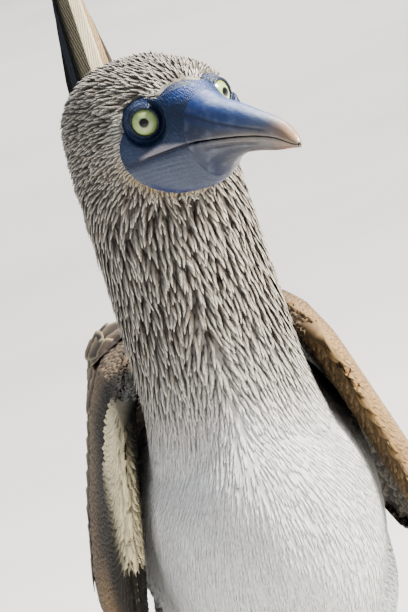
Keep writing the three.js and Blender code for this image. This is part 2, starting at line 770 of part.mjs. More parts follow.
function addNode(name, solid, colour, roughness) {
  const mesh = solid.getMesh();
  const geometry = new THREE.BufferGeometry();
  const positions = new Float32Array(mesh.vertProperties);
  geometry.setAttribute('position', new THREE.BufferAttribute(positions, 3));
  geometry.setIndex(new THREE.BufferAttribute(new Uint32Array(mesh.triVerts), 1));
  geometry.computeVertexNormals();
  const material = new THREE.MeshStandardMaterial({ color: colour, roughness, metalness: 0 });
  const node = new THREE.Mesh(geometry, material);
  node.name = name;
  booby.add(node);
}

function addPair(name, solid, colour, roughness) {
  addNode(`${name}_left`, solid, colour, roughness);
  addNode(`${name}_right`, solid.mirror([1, 0, 0]), colour, roughness);
}

addNode('head', head, FEATHER_CREAM, 0.9);
addNode('face_skin', placeHead(faceUpper), SKIN_SLATE, 0.6);
addNode('throat_skin', placeHead(faceLower), SKIN_SLATE, 0.6);
addNode('bill_upper', placeHead(billUpper), BILL_BLUE, 0.45);
addNode('bill_lower', placeHead(billLower), BILL_BLUE, 0.45);
[['left', 1], ['right', -1]].forEach(([name, side]) => {
  const eyeball = ball(EYE_RADIUS, eyeFrame(side).centre, SIDES.eye);
  addNode(`eye_${name}`, placeHead(eyeball), IRIS_YELLOW, 0.1);
});
addNode('neck_upper', neckUpper, FEATHER_CREAM, 0.9);
addNode('neck_lower', neckLower, FEATHER_CREAM, 0.9);
addNode('torso', torso, FEATHER_WHITE, 0.9);
addNode('rump', rump, FEATHER_WHITE, 0.9);
addNode('tail', tail, FEATHER_BROWN, 0.8);
addPair('thigh', thighLeft, FEATHER_WHITE, 0.9);
addPair('tarsus', tarsusLeft, FOOT_BLUE, 0.6);
addPair('foot', footLeft, FOOT_BLUE, 0.6);
const wing = builtWing();
Object.entries(wing).forEach(([name, solid]) => {
  const colour = name === 'primaries' ? FEATHER_DARK : FEATHER_BROWN;
  addNode(`wing_${name}_left`, seatWing(solid, WING_SEAT.left), colour, 0.85);
  const mirrored = solid.mirror([1, 0, 0]);
  addNode(`wing_${name}_right`, seatWing(mirrored, WING_SEAT.right), colour, 0.85);
});

// The origin is under the middle of the model, on the floor
const extent = new THREE.Box3().setFromObject(booby);
booby.position.set(-(extent.min.x + extent.max.x) / 2, -(extent.min.y + extent.max.y) / 2, 0);

export default booby;
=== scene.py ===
# %% [markdown]
# # A blue footed booby, modelled for its looks
#
# The solids were made first and give the true size and outline of the bird. This lesson dresses them:
# one skin for the body, lance-shaped feathers over it, bare skin on the face, a horny bill, wet eyes,
# long wing and tail feathers and webbed feet. Sizes are written in millimetres and turned into metres
# as each mesh is made.

# %% The frame, and the libraries used
import bpy
import math
import numpy as np
from mathutils import Matrix, Vector
from mathutils.bvhtree import BVHTree


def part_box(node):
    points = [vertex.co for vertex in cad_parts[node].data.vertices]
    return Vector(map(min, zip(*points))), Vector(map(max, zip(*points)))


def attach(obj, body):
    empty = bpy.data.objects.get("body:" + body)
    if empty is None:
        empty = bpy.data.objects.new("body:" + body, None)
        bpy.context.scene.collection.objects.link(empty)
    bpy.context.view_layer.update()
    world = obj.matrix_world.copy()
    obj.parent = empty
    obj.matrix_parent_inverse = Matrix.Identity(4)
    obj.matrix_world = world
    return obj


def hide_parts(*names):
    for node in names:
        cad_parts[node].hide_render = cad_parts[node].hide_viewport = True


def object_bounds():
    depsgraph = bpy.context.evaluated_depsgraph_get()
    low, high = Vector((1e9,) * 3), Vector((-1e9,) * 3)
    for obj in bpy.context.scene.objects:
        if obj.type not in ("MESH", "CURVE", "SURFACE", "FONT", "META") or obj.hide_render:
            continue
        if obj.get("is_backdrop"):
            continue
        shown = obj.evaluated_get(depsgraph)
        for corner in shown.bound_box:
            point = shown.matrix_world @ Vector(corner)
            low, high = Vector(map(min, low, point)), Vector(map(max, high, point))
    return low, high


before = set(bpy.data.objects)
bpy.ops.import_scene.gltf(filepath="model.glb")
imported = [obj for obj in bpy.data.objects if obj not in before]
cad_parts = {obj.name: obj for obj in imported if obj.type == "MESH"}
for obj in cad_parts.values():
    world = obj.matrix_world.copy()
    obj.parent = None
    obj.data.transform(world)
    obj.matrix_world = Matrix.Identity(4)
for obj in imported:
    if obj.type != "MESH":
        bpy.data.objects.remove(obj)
solid_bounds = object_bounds()
rng = np.random.default_rng(7)
print("solids reach from", tuple(solid_bounds[0]), "to", tuple(solid_bounds[1]))

# %% [markdown]
# ## Sizes shared by all the pieces
#
# The bird faces along -Y with its left side at +X. Its eyes are 378 mm above the floor and the head is
# turned nearly nineteen degrees to its left. The body was laid out round the axis of the neck, and the
# solids were then centred on the floor, so the shift between the two is read from where one eye ended
# up.

# %% Named sizes and the change from layout to frame
EYE_HEIGHT = 378.0
HEAD_TURN = math.radians(18.7)
EYE_RADIUS = 9.0
EYE_SPREAD = 16.2
EYE_FORWARD = 49.6
EYE_OUTWARD = math.radians(33.0)
IRIS_OPENING = 6.2
SIDES = ((1, "left"), (-1, "right"))


def head_to_body(points):
    """Points in the frame of the head, as left, back and up, turned and lifted onto the neck."""
    p = np.asarray(points, float)
    c, s = math.cos(HEAD_TURN), math.sin(HEAD_TURN)
    x = p[..., 0] * c - p[..., 1] * s
    y = p[..., 0] * s + p[..., 1] * c
    return np.stack([x, y, p[..., 2] + EYE_HEIGHT], -1)


eye_low, eye_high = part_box("eye_left")
eye_middle = np.array((eye_low + eye_high) / 2) * 1000
eye_layout = head_to_body([EYE_SPREAD, -EYE_FORWARD, 0.0])
SHIFT = eye_middle - eye_layout
SHIFT[2] = 0.0


def metres(points):
    """Layout points in millimetres as frame points in metres."""
    return (np.asarray(points, float) + SHIFT) * 0.001


print("shift of the layout in mm:", SHIFT.round(2))

# %% [markdown]
# ## Helpers for lofted forms
#
# A neck, a bill or a toe is a row of oval rings joined by faces. The rows of sizes are eased along a
# smooth curve so that a few named stations give a rounded form. The same few helpers serve every soft
# form in the lesson.

# %% Rings, lofts and meshes


def eased(rows, steps):
    """More rows along a smooth curve through the given ones."""
    rows = np.asarray(rows, float)
    made = []
    for i in range(len(rows) - 1):
        before, start = rows[max(i - 1, 0)], rows[i]
        end, after = rows[i + 1], rows[min(i + 2, len(rows) - 1)]
        for s in range(steps):
            t = s / steps
            slope_in, slope_out = (end - before) / 2, (after - start) / 2
            made.append(
                (2 * t**3 - 3 * t**2 + 1) * start
                + (t**3 - 2 * t**2 + t) * slope_in
                + (3 * t**2 - 2 * t**3) * end
                + (t**3 - t**2) * slope_out
            )
    made.append(rows[-1])
    return np.array(made)


def unit(vectors):
    """Vectors scaled to length one."""
    return vectors / np.maximum(np.linalg.norm(vectors, axis=-1), 1e-9)[..., None]


def turns(count):
    """Angles evenly round a circle."""
    return np.arange(count) / count * 2 * math.pi


def bell(value, width):
    """A soft bump, 1 at nought and falling away on both sides."""
    return np.exp(-((value / width) ** 2))


def smooth(low, high, value):
    """A soft step from 0 at low to 1 at high."""
    t = np.clip((np.asarray(value, float) - low) / (high - low), 0, 1)
    return t * t * (3 - 2 * t)


def oval_rings(centres, across, upward, half, above, below, sides):
    """Rings of points round each centre, the upper and lower halves with their own heights."""
    angle = turns(sides)
    c, s = np.cos(angle), np.sin(angle)
    rise = np.where(s > 0, above[:, None], below[:, None]) * s
    return (
        centres[:, None, :]
        + (half[:, None] * c)[..., None] * np.asarray(across, float)
        + rise[..., None] * np.asarray(upward, float)
    )


def loft_faces(count, sides):
    """Faces of a loft whose ends are closed with a point each."""
    i, j = np.meshgrid(np.arange(count - 1), np.arange(sides), indexing="ij")
    k = (j + 1) % sides
    quads = np.stack([i * sides + j, i * sides + k, (i + 1) * sides + k, (i + 1) * sides + j], -1)
    faces = quads.reshape(-1, 4).tolist()
    start, end = count * sides, count * sides + 1
    for j in range(sides):
        k = (j + 1) % sides
        faces.append([start, k, j])
        faces.append([end, (count - 1) * sides + j, (count - 1) * sides + k])
    return faces


def choose(*objects):
    """Selects these objects alone and makes the first one active."""
    bpy.ops.object.select_all(action="DESELECT")
    for obj in objects:
        obj.select_set(True)
    bpy.context.view_layer.objects.active = objects[0]


def face_outward(obj):
    """Turns the faces of a closed mesh to look outward."""
    choose(obj)
    bpy.ops.object.mode_set(mode="EDIT")
    bpy.ops.mesh.select_all(action="SELECT")
    bpy.ops.mesh.normals_make_consistent(inside=False)
    bpy.ops.object.mode_set(mode="OBJECT")


def mesh_object(name, points, faces, shade=True):
    """An object from layout points in millimetres."""
    mesh = bpy.data.meshes.new(name)
    mesh.from_pydata(metres(points), [], faces)
    obj = bpy.data.objects.new(name, mesh)
    bpy.context.scene.collection.objects.link(obj)
    if shade:
        mesh.shade_smooth()
    return obj


def loft_object(name, rings, place=None):
    """A closed loft from an array of rings."""
    count, sides = rings.shape[:2]
    points = rings.reshape(-1, 3)
    points = np.vstack([points, rings[0].mean(0), rings[-1].mean(0)])
    if place is not None:
        points = place(points)
    obj = mesh_object(name, points, loft_faces(count, sides))
    face_outward(obj)
    return obj


def apply_all(obj):
    """Applies the modifiers of an object in order."""
    choose(obj)
    for modifier in list(obj.modifiers):
        bpy.ops.object.modifier_apply(modifier=modifier.name)


def join_all(name, parts):
    """Joins several objects into one and names it."""
    choose(*parts)
    bpy.ops.object.join()
    parts[0].name = name
    parts[0].data.name = name
    return parts[0]


def vertex_rows(obj, field):
    """The places or normals of the vertices of an object, as rows of three."""
    values = np.empty(len(obj.data.vertices) * 3)
    obj.data.vertices.foreach_get(field, values)
    return values.reshape(-1, 3)


def layout_points(obj):
    """The vertices of an object back in layout millimetres."""
    return vertex_rows(obj, "co") * 1000 - SHIFT


def move_to(obj, points):
    """Puts the vertices of an object at layout points."""
    obj.data.vertices.foreach_set("co", metres(points).astype(np.float32).ravel())
    obj.data.update()


def set_attribute(obj, name, values):
    """A number stored on every vertex, for the materials."""
    layer = obj.data.attributes.new(name, "FLOAT", "POINT")
    layer.data.foreach_set("value", np.asarray(values, np.float32).ravel())


def set_colour(obj, name, values):
    """A colour stored on every vertex, for the materials."""
    layer = obj.data.attributes.new(name, "FLOAT_COLOR", "POINT")
    rgba = np.ones((len(values), 4), np.float32)
    rgba[:, :3] = values
    layer.data.foreach_set("color", rgba.ravel())


def srgb(r, g, b):
    """A colour given as screen values, turned to the linear values of the renderer."""
    v = np.array([r, g, b]) / 255
    return np.where(v <= 0.04045, v / 12.92, ((v + 0.055) / 1.055) ** 2.4)


def mix(a, b, share):
    """Colours between a and b by a share for each point."""
    share = np.asarray(share, float)[..., None]
    return np.asarray(a) * (1 - share) + np.asarray(b) * share


WOBBLE_REACH = 1.6


def wobble(points, scale, seed):
    """A smooth, repeatable ripple of value for each point, about -1 to 1."""
    local = np.random.default_rng(seed)
    total = np.zeros(len(points))
    for octave in range(4):
        way = local.normal(size=(3, 3))
        phase = local.uniform(0, 6.28, 3)
        waves = np.sin(points @ way.T * scale * 1.7**octave + phase)
        total += waves.prod(1) / 1.3**octave
    return total / WOBBLE_REACH


print("helpers ready")

# %% [markdown]
# ## The stations of the body
#
# Each row says where a ring sits and how wide, high and deep the bird is there, feathers included. The
# skin is made a little inside these sizes, so that the feathers laid on it end where the solids end.

# %% Rows of sizes of the body, neck, head, rump and thighs
BODY_ROWS = [
    [-47, 184, 5, 7, 7],
    [-41, 182, 25, 32, 32],
    [-26, 177, 42, 54, 52],
    [0, 172, 54, 70, 70],
    [34, 167, 58, 83, 82],
    [74, 165, 63, 86, 87],
    [114, 165, 66, 86, 88],
    [154, 168, 62, 82, 84],
    [190, 180, 52, 68, 70],
    [220, 198, 38, 50, 54],
    [244, 214, 24, 34, 36],
    [256, 222, 10, 16, 16],
]
NECK_ROWS = [
    [180, 26, 51, 64, 62],
    [196, 20, 49.6, 60, 58],
    [215, 13, 46, 52, 52],
    [235, 7, 42, 44, 46],
    [258, 2, 39.6, 39, 41],
    [290, 0, 39, 37, 38],
    [325, 0, 39, 37, 38],
    [352, -1, 39, 38, 37],
    [368, -3, 38.6, 37, 35],
    [382, -5, 36, 34, 31],
    [393, -7, 29, 28, 24],
    [400, -9, 18, 18, 15],
    [402, -10, 6, 7, 6],
]
HEAD_ROWS = [
    [-4, -6, 36, 26, 40],
    [12, -6, 38.6, 30, 41],
    [28, -7, 38, 31.5, 38],
    [40, -8, 34.4, 30.6, 34],
    [50, -9, 28.6, 28, 31],
    [58, -9, 23, 24.6, 28],
    [66, -9, 17.6, 21.4, 25.6],
    [74, -9.5, 14.8, 19, 24],
    [82, -10.5, 13.2, 17.4, 19.6],
    [92, -10.5, 11.6, 15, 14.6],
    [110, -10.5, 9.6, 12.6, 10],
    [128, -10.5, 7.4, 9.4, 8.7],
    [144, -11, 5.7, 7, 8.1],
    [154.5, -12, 4.2, 4.9, 6.4],
    [161.5, -14, 2.6, 2.6, 4],
    [165, -16.4, 1, 1, 1.4],
]
RUMP_ROWS = [
    [206, 226, 22, 22, 24],
    [230, 236, 24, 18, 18],
    [252, 243, 22.6, 12.4, 12.4],
    [272, 246, 20.6, 9, 9],
    [284, 247, 18, 7, 7],
]
THIGH_ROWS = [
    [34, 112, 128, 28, 40],
    [37, 118, 104, 24, 33],
    [39.4, 126, 86, 17, 23],
    [40, 133, 72, 11, 14],
    [40, 136, 64, 8.4, 10],
]
MOUTH_ROWS = [
    [38, -18],
    [50, -16.2],
    [70, -13.4],
    [85, -11.8],
    [110, -10.8],
    [130, -10.6],
    [145, -11.2],
    [154, -12.6],
    [161, -15],
    [172, -19.4],
]
MOUTH = eased(MOUTH_ROWS, 6)
COAT_DEPTH = 2.4


def mouth_height(forward):
    """Height of the line of the mouth at a place along the head."""
    return np.interp(forward, MOUTH[:, 0], MOUTH[:, 1])


def eye_frame(side):
    """Centre of an eye and the way it looks, in the frame of the head."""
    look = np.array([side * math.sin(EYE_OUTWARD), -math.cos(EYE_OUTWARD), 0.04])
    return np.array([side * EYE_SPREAD, -EYE_FORWARD, 0.0]), unit(look)


def eye_radial(points, side):
    """Distance of head points from the line of sight of an eye, large for points behind it."""
    centre, look = eye_frame(side)
    q = points - centre
    along = q @ look
    radial = np.linalg.norm(q - along[..., None] * look, axis=-1)
    return radial + 40.0 * (along < 0), along


BARE_RING = 10.2


def bare_edge(points):
    """How far inside the bare face a head point lies; below nought it is feathered."""
    left, forward, up = points[..., 0], -points[..., 1], points[..., 2]
    edge = forward - (70 - 0.64 * np.abs(left) + 0.2 * (up - 13))
    for side in (1, -1):
        edge = np.maximum(edge, BARE_RING - eye_radial(points, side)[0])
    return edge


print("stations:", len(BODY_ROWS) + len(NECK_ROWS) + len(HEAD_ROWS), "rows")

# %% [markdown]
# ## One skin for the feathered body
#
# Body, neck, head, rump and thighs are lofted a little small and then flow into one closed skin. A
# voxel remesh melts them together as if they were modelling clay, and a smoothing pass takes the steps
# out.

# %% The skin of the body


LYING = ((0, 1), (2, 3, 4), (0, 0, 1))
UPRIGHT = ((1, 0), (2, 4, 3), (0, 1, 0))
RING_STEPS = 4
RING_SIDES = 48
SKULL_DEPTH = COAT_DEPTH + 0.3
LIMB_DEPTH = 1.8
SKIN_VOXEL = 0.0021


def row_rings(rows, growth, lie):
    """Rings from eased rows of a form that lies along the bird or stands upright, with some growth."""
    (back, high), sizes, upward = lie
    r = eased(rows, RING_STEPS)
    centres = np.stack([np.zeros(len(r)), r[:, back], r[:, high]], -1)
    half, above, below = [r[:, column] + growth for column in sizes]
    return oval_rings(centres, (1, 0, 0), upward, half, above, below, RING_SIDES)


def limb_rings(r, growth, sides):
    """Rings from eased rows that hold a centre, a half width and a half depth."""
    half, depth = r[:, 3] + growth, r[:, 4] + growth
    return oval_rings(r[:, :3], (1, 0, 0), (0, 1, 0), half, depth, depth, sides)


skull_rows = [[-forward, *sizes] for forward, *sizes in HEAD_ROWS[:6]]
skin_lofts = [
    loft_object("torso_loft", row_rings(BODY_ROWS, -COAT_DEPTH, LYING)),
    loft_object("neck_loft", row_rings(NECK_ROWS, -COAT_DEPTH, UPRIGHT)),
    loft_object("skull_loft", row_rings(skull_rows, -SKULL_DEPTH, LYING), place=head_to_body),
    loft_object("rump_loft", row_rings(RUMP_ROWS, -LIMB_DEPTH, UPRIGHT)),
]
for side in (1, -1):
    rings = limb_rings(eased(THIGH_ROWS, RING_STEPS), -LIMB_DEPTH, 24)
    rings[..., 0] *= side
    skin_lofts.append(loft_object("thigh_loft", rings))
skin = join_all("skin", skin_lofts)
remesh = skin.modifiers.new("remesh", "REMESH")
remesh.mode = "VOXEL"
remesh.voxel_size = SKIN_VOXEL
ease = skin.modifiers.new("ease", "SMOOTH")
ease.factor = 0.5
ease.iterations = 5
apply_all(skin)
skin.data.shade_smooth()


def head_local(points):
    """Layout points turned back into the frame of the head."""
    c, s = math.cos(-HEAD_TURN), math.sin(-HEAD_TURN)
    x = points[:, 0] * c - points[:, 1] * s
    y = points[:, 0] * s + points[:, 1] * c
    return np.stack([x, y, points[:, 2] - EYE_HEIGHT], -1)


local_skin = head_local(layout_points(skin))
under_face = smooth(0.5, 5.0, bare_edge(local_skin)) * (local_skin[:, 2] > -48)
for side in (1, -1):
    under_face = np.maximum(under_face, 1 - smooth(10.0, 12.0, eye_radial(local_skin, side)[0]))
head_axis = local_skin * np.array([0, 1, 0]) + np.array([0, 0, -9.0])
local_skin += (head_axis - local_skin) * (0.34 * under_face)[:, None]
move_to(skin, head_to_body(local_skin))
print("skin has", len(skin.data.polygons), "faces")

# %% [markdown]
# ## The bare face
#
# Bare skin runs from the bill to behind the eyes and under the chin. It is a dense loft of the front of
# the head. Under the feathers it sinks to the depth of the coat, round each eye it rises into a lid
# with fine rings, and along the line of the mouth it folds in. Small ripples cover most of it and fine
# wrinkles cross the pouch of the throat.

# %% The face skin
FACE_FRONT = 82.6
FACE_SIDES = 340
face_rows = eased([row for row in HEAD_ROWS if row[0] >= 28 and row[0] <= 92], 22)
face_rows = face_rows[(face_rows[:, 0] > 36) & (face_rows[:, 0] < FACE_FRONT)]
centres = np.stack([np.zeros(len(face_rows)), -face_rows[:, 0], face_rows[:, 1]], -1)
face_grid = oval_rings(
    centres, (1, 0, 0), (0, 0, 1), face_rows[:, 2], face_rows[:, 3], face_rows[:, 4], FACE_SIDES
)
flat = face_grid.reshape(-1, 3)
axis = np.repeat(centres, FACE_SIDES, 0)
outward = unit(flat - axis)
inside = smooth(-2.2, 0.4, bare_edge(flat))
sink = -(COAT_DEPTH + 1.2) * (1 - inside)
forward = -flat[:, 1]
sink = sink - 0.45 * smooth(79.5, 81.0, forward)
side_of_mouth = flat[:, 2] - mouth_height(forward)
crease = bell(side_of_mouth, 0.5) * smooth(51, 56, forward)
pouch = smooth(-1.0, -5.0, side_of_mouth) * inside
ripple_points = flat * np.array([1.0, 0.45, 1.0])
ripple = wobble(ripple_points, 1.0, 3) * 0.16 + wobble(flat, 2.6, 4) * 0.06
pouch_line = np.sin((side_of_mouth * 1.3 + forward * 0.12) * 2.2) * 0.12
fold_edge = bell(bare_edge(flat) - 3.2, 1.4) * smooth(-4, -9, side_of_mouth)
calm = 1 - smooth(73, 79, forward)
height = sink - 1.1 * crease + (ripple * inside + pouch_line * pouch) * calm + 0.7 * fold_edge
moved = flat + outward * height[:, None]
lid_mask = np.zeros(len(flat))
for side in (1, -1):
    centre, look = eye_frame(side)
    q = moved - centre
    along = q @ look
    radial = np.linalg.norm(q - along[:, None] * look, axis=1)
    dome = np.sqrt(np.clip((EYE_RADIUS + 0.75) ** 2 - radial**2, 0, None))
    lid = dome + 0.2 * np.cos((radial - 6.4) * 4.0)
    goal = np.where(radial < IRIS_OPENING + 0.1, 2.6, lid)
    near = (along > 1.0) & (radial < 13)
    share = np.where(near, 1 - smooth(7.8, 11.4, radial), 0)
    moved = moved + look * ((goal - along) * share)[:, None]
    rings = bell(radial - 6.9, 0.9) * near
    lid_mask = np.maximum(lid_mask, rings)
face_points = np.vstack([moved, moved[:FACE_SIDES].mean(0), moved[-FACE_SIDES:].mean(0)])
face = mesh_object(
    "face_skin_bare", head_to_body(face_points), loft_faces(len(face_rows), FACE_SIDES)
)
face_outward(face)
pad = np.zeros(2)
low_edge = bell(bare_edge(flat) - 2.2, 1.5) * smooth(-8, -14, side_of_mouth)
patch = (
    smooth(-1.2, 0.4, side_of_mouth)
    * (1 - smooth(2.6, 4.6, side_of_mouth + np.abs(forward - 63) * 0.2))
    * smooth(51, 56, forward)
)
ridge = smooth(4, 9, flat[:, 2]) * smooth(62, 70, forward)
for name, values in (
    ("patch", patch), ("pouch", pouch), ("low_edge", low_edge),
    ("lid", lid_mask), ("crease", crease), ("ridge", ridge),
):
    set_attribute(face, name, np.concatenate([values, pad]))
print("face skin has", len(face.data.polygons), "faces")

# %% [markdown]
# ## The bill
#
# The bill is a long cone that drops at the tip. It is lofted in two halves that meet along the line of
# the mouth. A shallow groove runs along each side of the upper half, which is where a seabird's closed
# nostrils lie, and the horn has fine lengthwise grain. The base swells a little where it meets the skin
# of the forehead.

# %% Upper and lower halves of the bill
BILL_SIDES = 480
BILL_START = 79.0


def bill_half(name, upper):
    """One half of the bill, with its grooves, its rim and the grain of its horn."""
    r = eased([row for row in HEAD_ROWS if row[0] >= 66], 14)
    r = r[r[:, 0] >= BILL_START]
    centres = np.stack([np.zeros(len(r)), -r[:, 0], r[:, 1]], -1)
    rings = oval_rings(centres, (1, 0, 0), (0, 0, 1), r[:, 2], r[:, 3], r[:, 4], BILL_SIDES)
    made = []
    sign = 1 if upper else -1
    for ring, row in zip(rings, r):
        limit = mouth_height(row[0]) + 0.28 * sign
        keep = ring[(ring[:, 2] - limit) * sign >= 0]
        if len(keep) < 6:
            by_height = np.argsort(ring[:, 2])
            keep = ring[by_height[-6:]] if upper else ring[by_height[:6]]
        order = np.argsort(np.arctan2(keep[:, 2] - limit, keep[:, 0]))
        keep = keep[order]
        t = np.linspace(0, 1, 64)
        length = np.concatenate([[0], np.cumsum(np.linalg.norm(np.diff(keep, axis=0), axis=1))])
        curve = np.stack([np.interp(t * length[-1], length, keep[:, k]) for k in range(3)], -1)
        under = np.linspace(curve[-1], curve[0], 18)[1:-1]
        under[:, 2] += 0.5 * sign * np.sin(np.linspace(0, math.pi, 16))
        made.append(np.vstack([curve, under]))
    grid = np.array(made)
    flat = grid.reshape(-1, 3)
    forward = -flat[:, 1]
    middle = np.repeat(r[:, 1], grid.shape[1])
    out = unit(flat - np.stack([np.zeros(len(flat)), flat[:, 1], middle], -1))
    over_mouth = flat[:, 2] - mouth_height(forward)
    if upper:
        groove_line = np.interp(forward, [80, 100, 125, 148], [0.5, -3.2, -6.2, -8.6])
        groove = bell(flat[:, 2] - groove_line, 0.75) * (np.abs(flat[:, 0]) > 1.5)
        groove *= 1 - smooth(140, 150, forward)
        rim = bell(over_mouth - 1.6, 0.8)
    else:
        groove = bell(over_mouth + 3.4, 0.7)
        groove *= smooth(88, 98, forward) * (1 - smooth(130, 142, forward))
        rim = bell(over_mouth + 1.4, 0.7)
    fade = smooth(0.6, 2.2, np.abs(over_mouth))
    grain = wobble(flat * np.array([1.2, 0.16, 1.2]), 1.8, 11) * 0.07 * fade
    cuff = 0.22 * smooth(79.0, 80.2, forward) * (1 - smooth(82, 92, forward))
    flat = flat + out * (-0.55 * groove * fade + 0.12 * rim + grain + cuff)[:, None]
    rings = flat.reshape(grid.shape)
    obj = loft_object(name, rings, place=head_to_body)
    pad = np.zeros(2)
    ends = [r[0, 0], r[-1, 0]]
    set_attribute(obj, "forward", np.concatenate([forward, ends]))
    set_attribute(obj, "height", np.concatenate([flat[:, 2] - mouth_height(forward), pad]))
    set_attribute(obj, "groove", np.concatenate([groove, pad]))
    top = np.repeat(r[:, 1] + r[:, 3], grid.shape[1]) - flat[:, 2]
    set_attribute(obj, "below_ridge", np.concatenate([top, pad]))
    return obj


bill_upper = bill_half("bill_upper_horn", True)
bill_lower = bill_half("bill_lower_horn", False)
print("bill halves:", len(bill_upper.data.polygons), "and", len(bill_lower.data.polygons), "faces")

# %% [markdown]
# ## The eyes
#
# Each eye is a wet ball set behind its lids and looks well forward, past the bill. The iris is pale
# yellow-green with a small pupil. A fine sphere carries the distance from the line of sight on its
# vertices, and the material draws pupil, iris and dark rim from that distance.

# %% Two eyeballs
LID_STEPS = 120
LID_SIDES = 20


def eyeball(name, side):
    """A fine sphere that carries the distance and the turn round its line of sight."""
    centre, look = eye_frame(side)
    middle = metres(head_to_body(centre))
    bpy.ops.object.select_all(action="DESELECT")
    bpy.ops.mesh.primitive_uv_sphere_add(
        segments=96, ring_count=80, radius=EYE_RADIUS * 0.001, location=middle
    )
    ball = bpy.context.active_object
    ball.name = ball.data.name = name
    bpy.ops.object.transform_apply(location=True, rotation=True, scale=True)
    bpy.ops.object.shade_smooth()
    base = head_to_body(np.zeros(3))
    sight = head_to_body(look) - base
    q = layout_points(ball) - head_to_body(centre)
    along = q @ sight
    across = q - along[:, None] * sight
    upward = unit(np.array([0, 0, 1.0]) - sight * sight[2])
    lateral = np.cross(sight, upward)
    radial = np.where(along > 0, np.linalg.norm(across, axis=1), 20 - along)
    turn = np.arctan2(across @ upward, across @ lateral)
    set_attribute(ball, "radial", radial)
    set_attribute(ball, "streak_a", np.cos(turn))
    set_attribute(ball, "streak_b", np.sin(turn))
    return ball


def lid_margin(name, side):
    """The rounded edge of the lids, a ring of skin that lies on the eyeball."""
    centre, look = eye_frame(side)
    across = unit(np.cross(look, (0, 0, 1.0)))
    upward = np.cross(across, look)
    turn = turns(LID_STEPS)
    tube = turns(LID_SIDES)
    outer = np.cos(turn)[:, None] * across + np.sin(turn)[:, None] * upward
    thick = 0.62 + 0.1 * np.sin(turn) + 0.04 * np.sin(turn * 23)
    ring = outer * (IRIS_OPENING + 0.28) + look * 7.05 + centre
    swing = outer[:, None] * np.cos(tube)[None, :, None] + look * np.sin(tube)[None, :, None]
    points = ring[:, None] + swing * thick[:, None, None]
    faces = []
    for i in range(LID_STEPS):
        start, end = i * LID_SIDES, (i + 1) % LID_STEPS * LID_SIDES
        for j in range(LID_SIDES):
            m = (j + 1) % LID_SIDES
            faces.append([start + j, start + m, end + m, end + j])
    obj = mesh_object(name, head_to_body(points.reshape(-1, 3)), faces)
    face_outward(obj)
    set_attribute(obj, "lid", np.ones(len(obj.data.vertices)))
    return obj


eye_balls = {label: eyeball(f"eyeball_{label}", side) for side, label in SIDES}
lid_rings = {label: lid_margin(f"lid_margin_{label}", side) for side, label in SIDES}
print("eyes at", [tuple(np.round(metres(head_to_body(eye_frame(s)[0])), 4)) for s in (1, -1)])

# %% [markdown]
# ## How one feather is made
#
# A small feather is a thin three-sided vane: a left edge, a raised shaft and a right edge at a few places
# along it, and a pointed tip. A broad one is a cambered sheet with an edge all round. Thousands of them
# are written into one mesh at once. Each carries a small patch in the unwrap called OFBake, at the place
# where its root sits, so that a bake gives each feather its own colour.

# %% The maker of vanes
PATCH_HALF = 0.0014
SHAFT_RISE = 0.16
VANE_THICKNESS = 0.3


def skin_place(points):
    """Where a layout point lies on the unwrap of the body: round its axis, and along it."""
    x, y, z = points[:, 0], points[:, 1], points[:, 2]
    upright = smooth(225, 262, z) * (1 - smooth(60, 120, y))
    turn_neck = np.arctan2(x, -(y - 0.0))
    turn_body = np.arctan2(x, z - 170.0)
    u_neck = 0.25 + turn_neck / (2 * math.pi) * 0.46
    u_body = 0.75 + turn_body / (2 * math.pi) * 0.46
    v_neck = 0.02 + (z - 150) / 260 * 0.94
    v_body = 0.02 + (y + 60) / 480 * 0.94
    high = upright > 0.5
    return np.stack([np.where(high, u_neck, u_body), np.where(high, v_neck, v_body)], -1)


def vane_faces(pattern, step, spine, normal, side):
    """The faces of one vane repeated for all of them, turned where the top would look inward."""
    n, size = len(spine), pattern.shape[1]
    faces = (pattern[None] + (np.arange(n) * step)[:, None, None]).reshape(-1, size)
    facing = np.einsum("ij,ij->i", np.cross(side[:, 0], spine[:, 1] - spine[:, 0]), normal[:, 0])
    turned = np.repeat(facing < 0, len(pattern))
    faces[turned] = faces[turned][:, ::-1]
    return faces


def mark_vanes(obj, along, across, colours, places):
    """Stores place, colour and the patch of OFBake on the vanes of a mesh. The colours are (n, 3, 3)."""
    n = len(colours)
    t = along[None, :, None]
    low = colours[:, 0:1] * (1 - t * 2) + colours[:, 1:2] * t * 2
    high = colours[:, 1:2] * (2 - t * 2) + colours[:, 2:3] * (t * 2 - 1)
    set_colour(obj, "coat", np.where(t < 0.5, low, high).reshape(-1, 3))
    set_attribute(obj, "along", np.tile(along, n))
    set_attribute(obj, "across", np.tile(across, n))
    layer = obj.data.uv_layers.new(name="OFBake")
    patch = np.stack([across, along * 2 - 1], -1) * PATCH_HALF
    uv = (places[:, None, :] + patch[None]).reshape(-1, 2)
    loops = np.empty(len(obj.data.loops), np.int32)
    obj.data.loops.foreach_get("vertex_index", loops)
    layer.data.foreach_set("uv", uv[loops].astype(np.float32).ravel())
    return obj


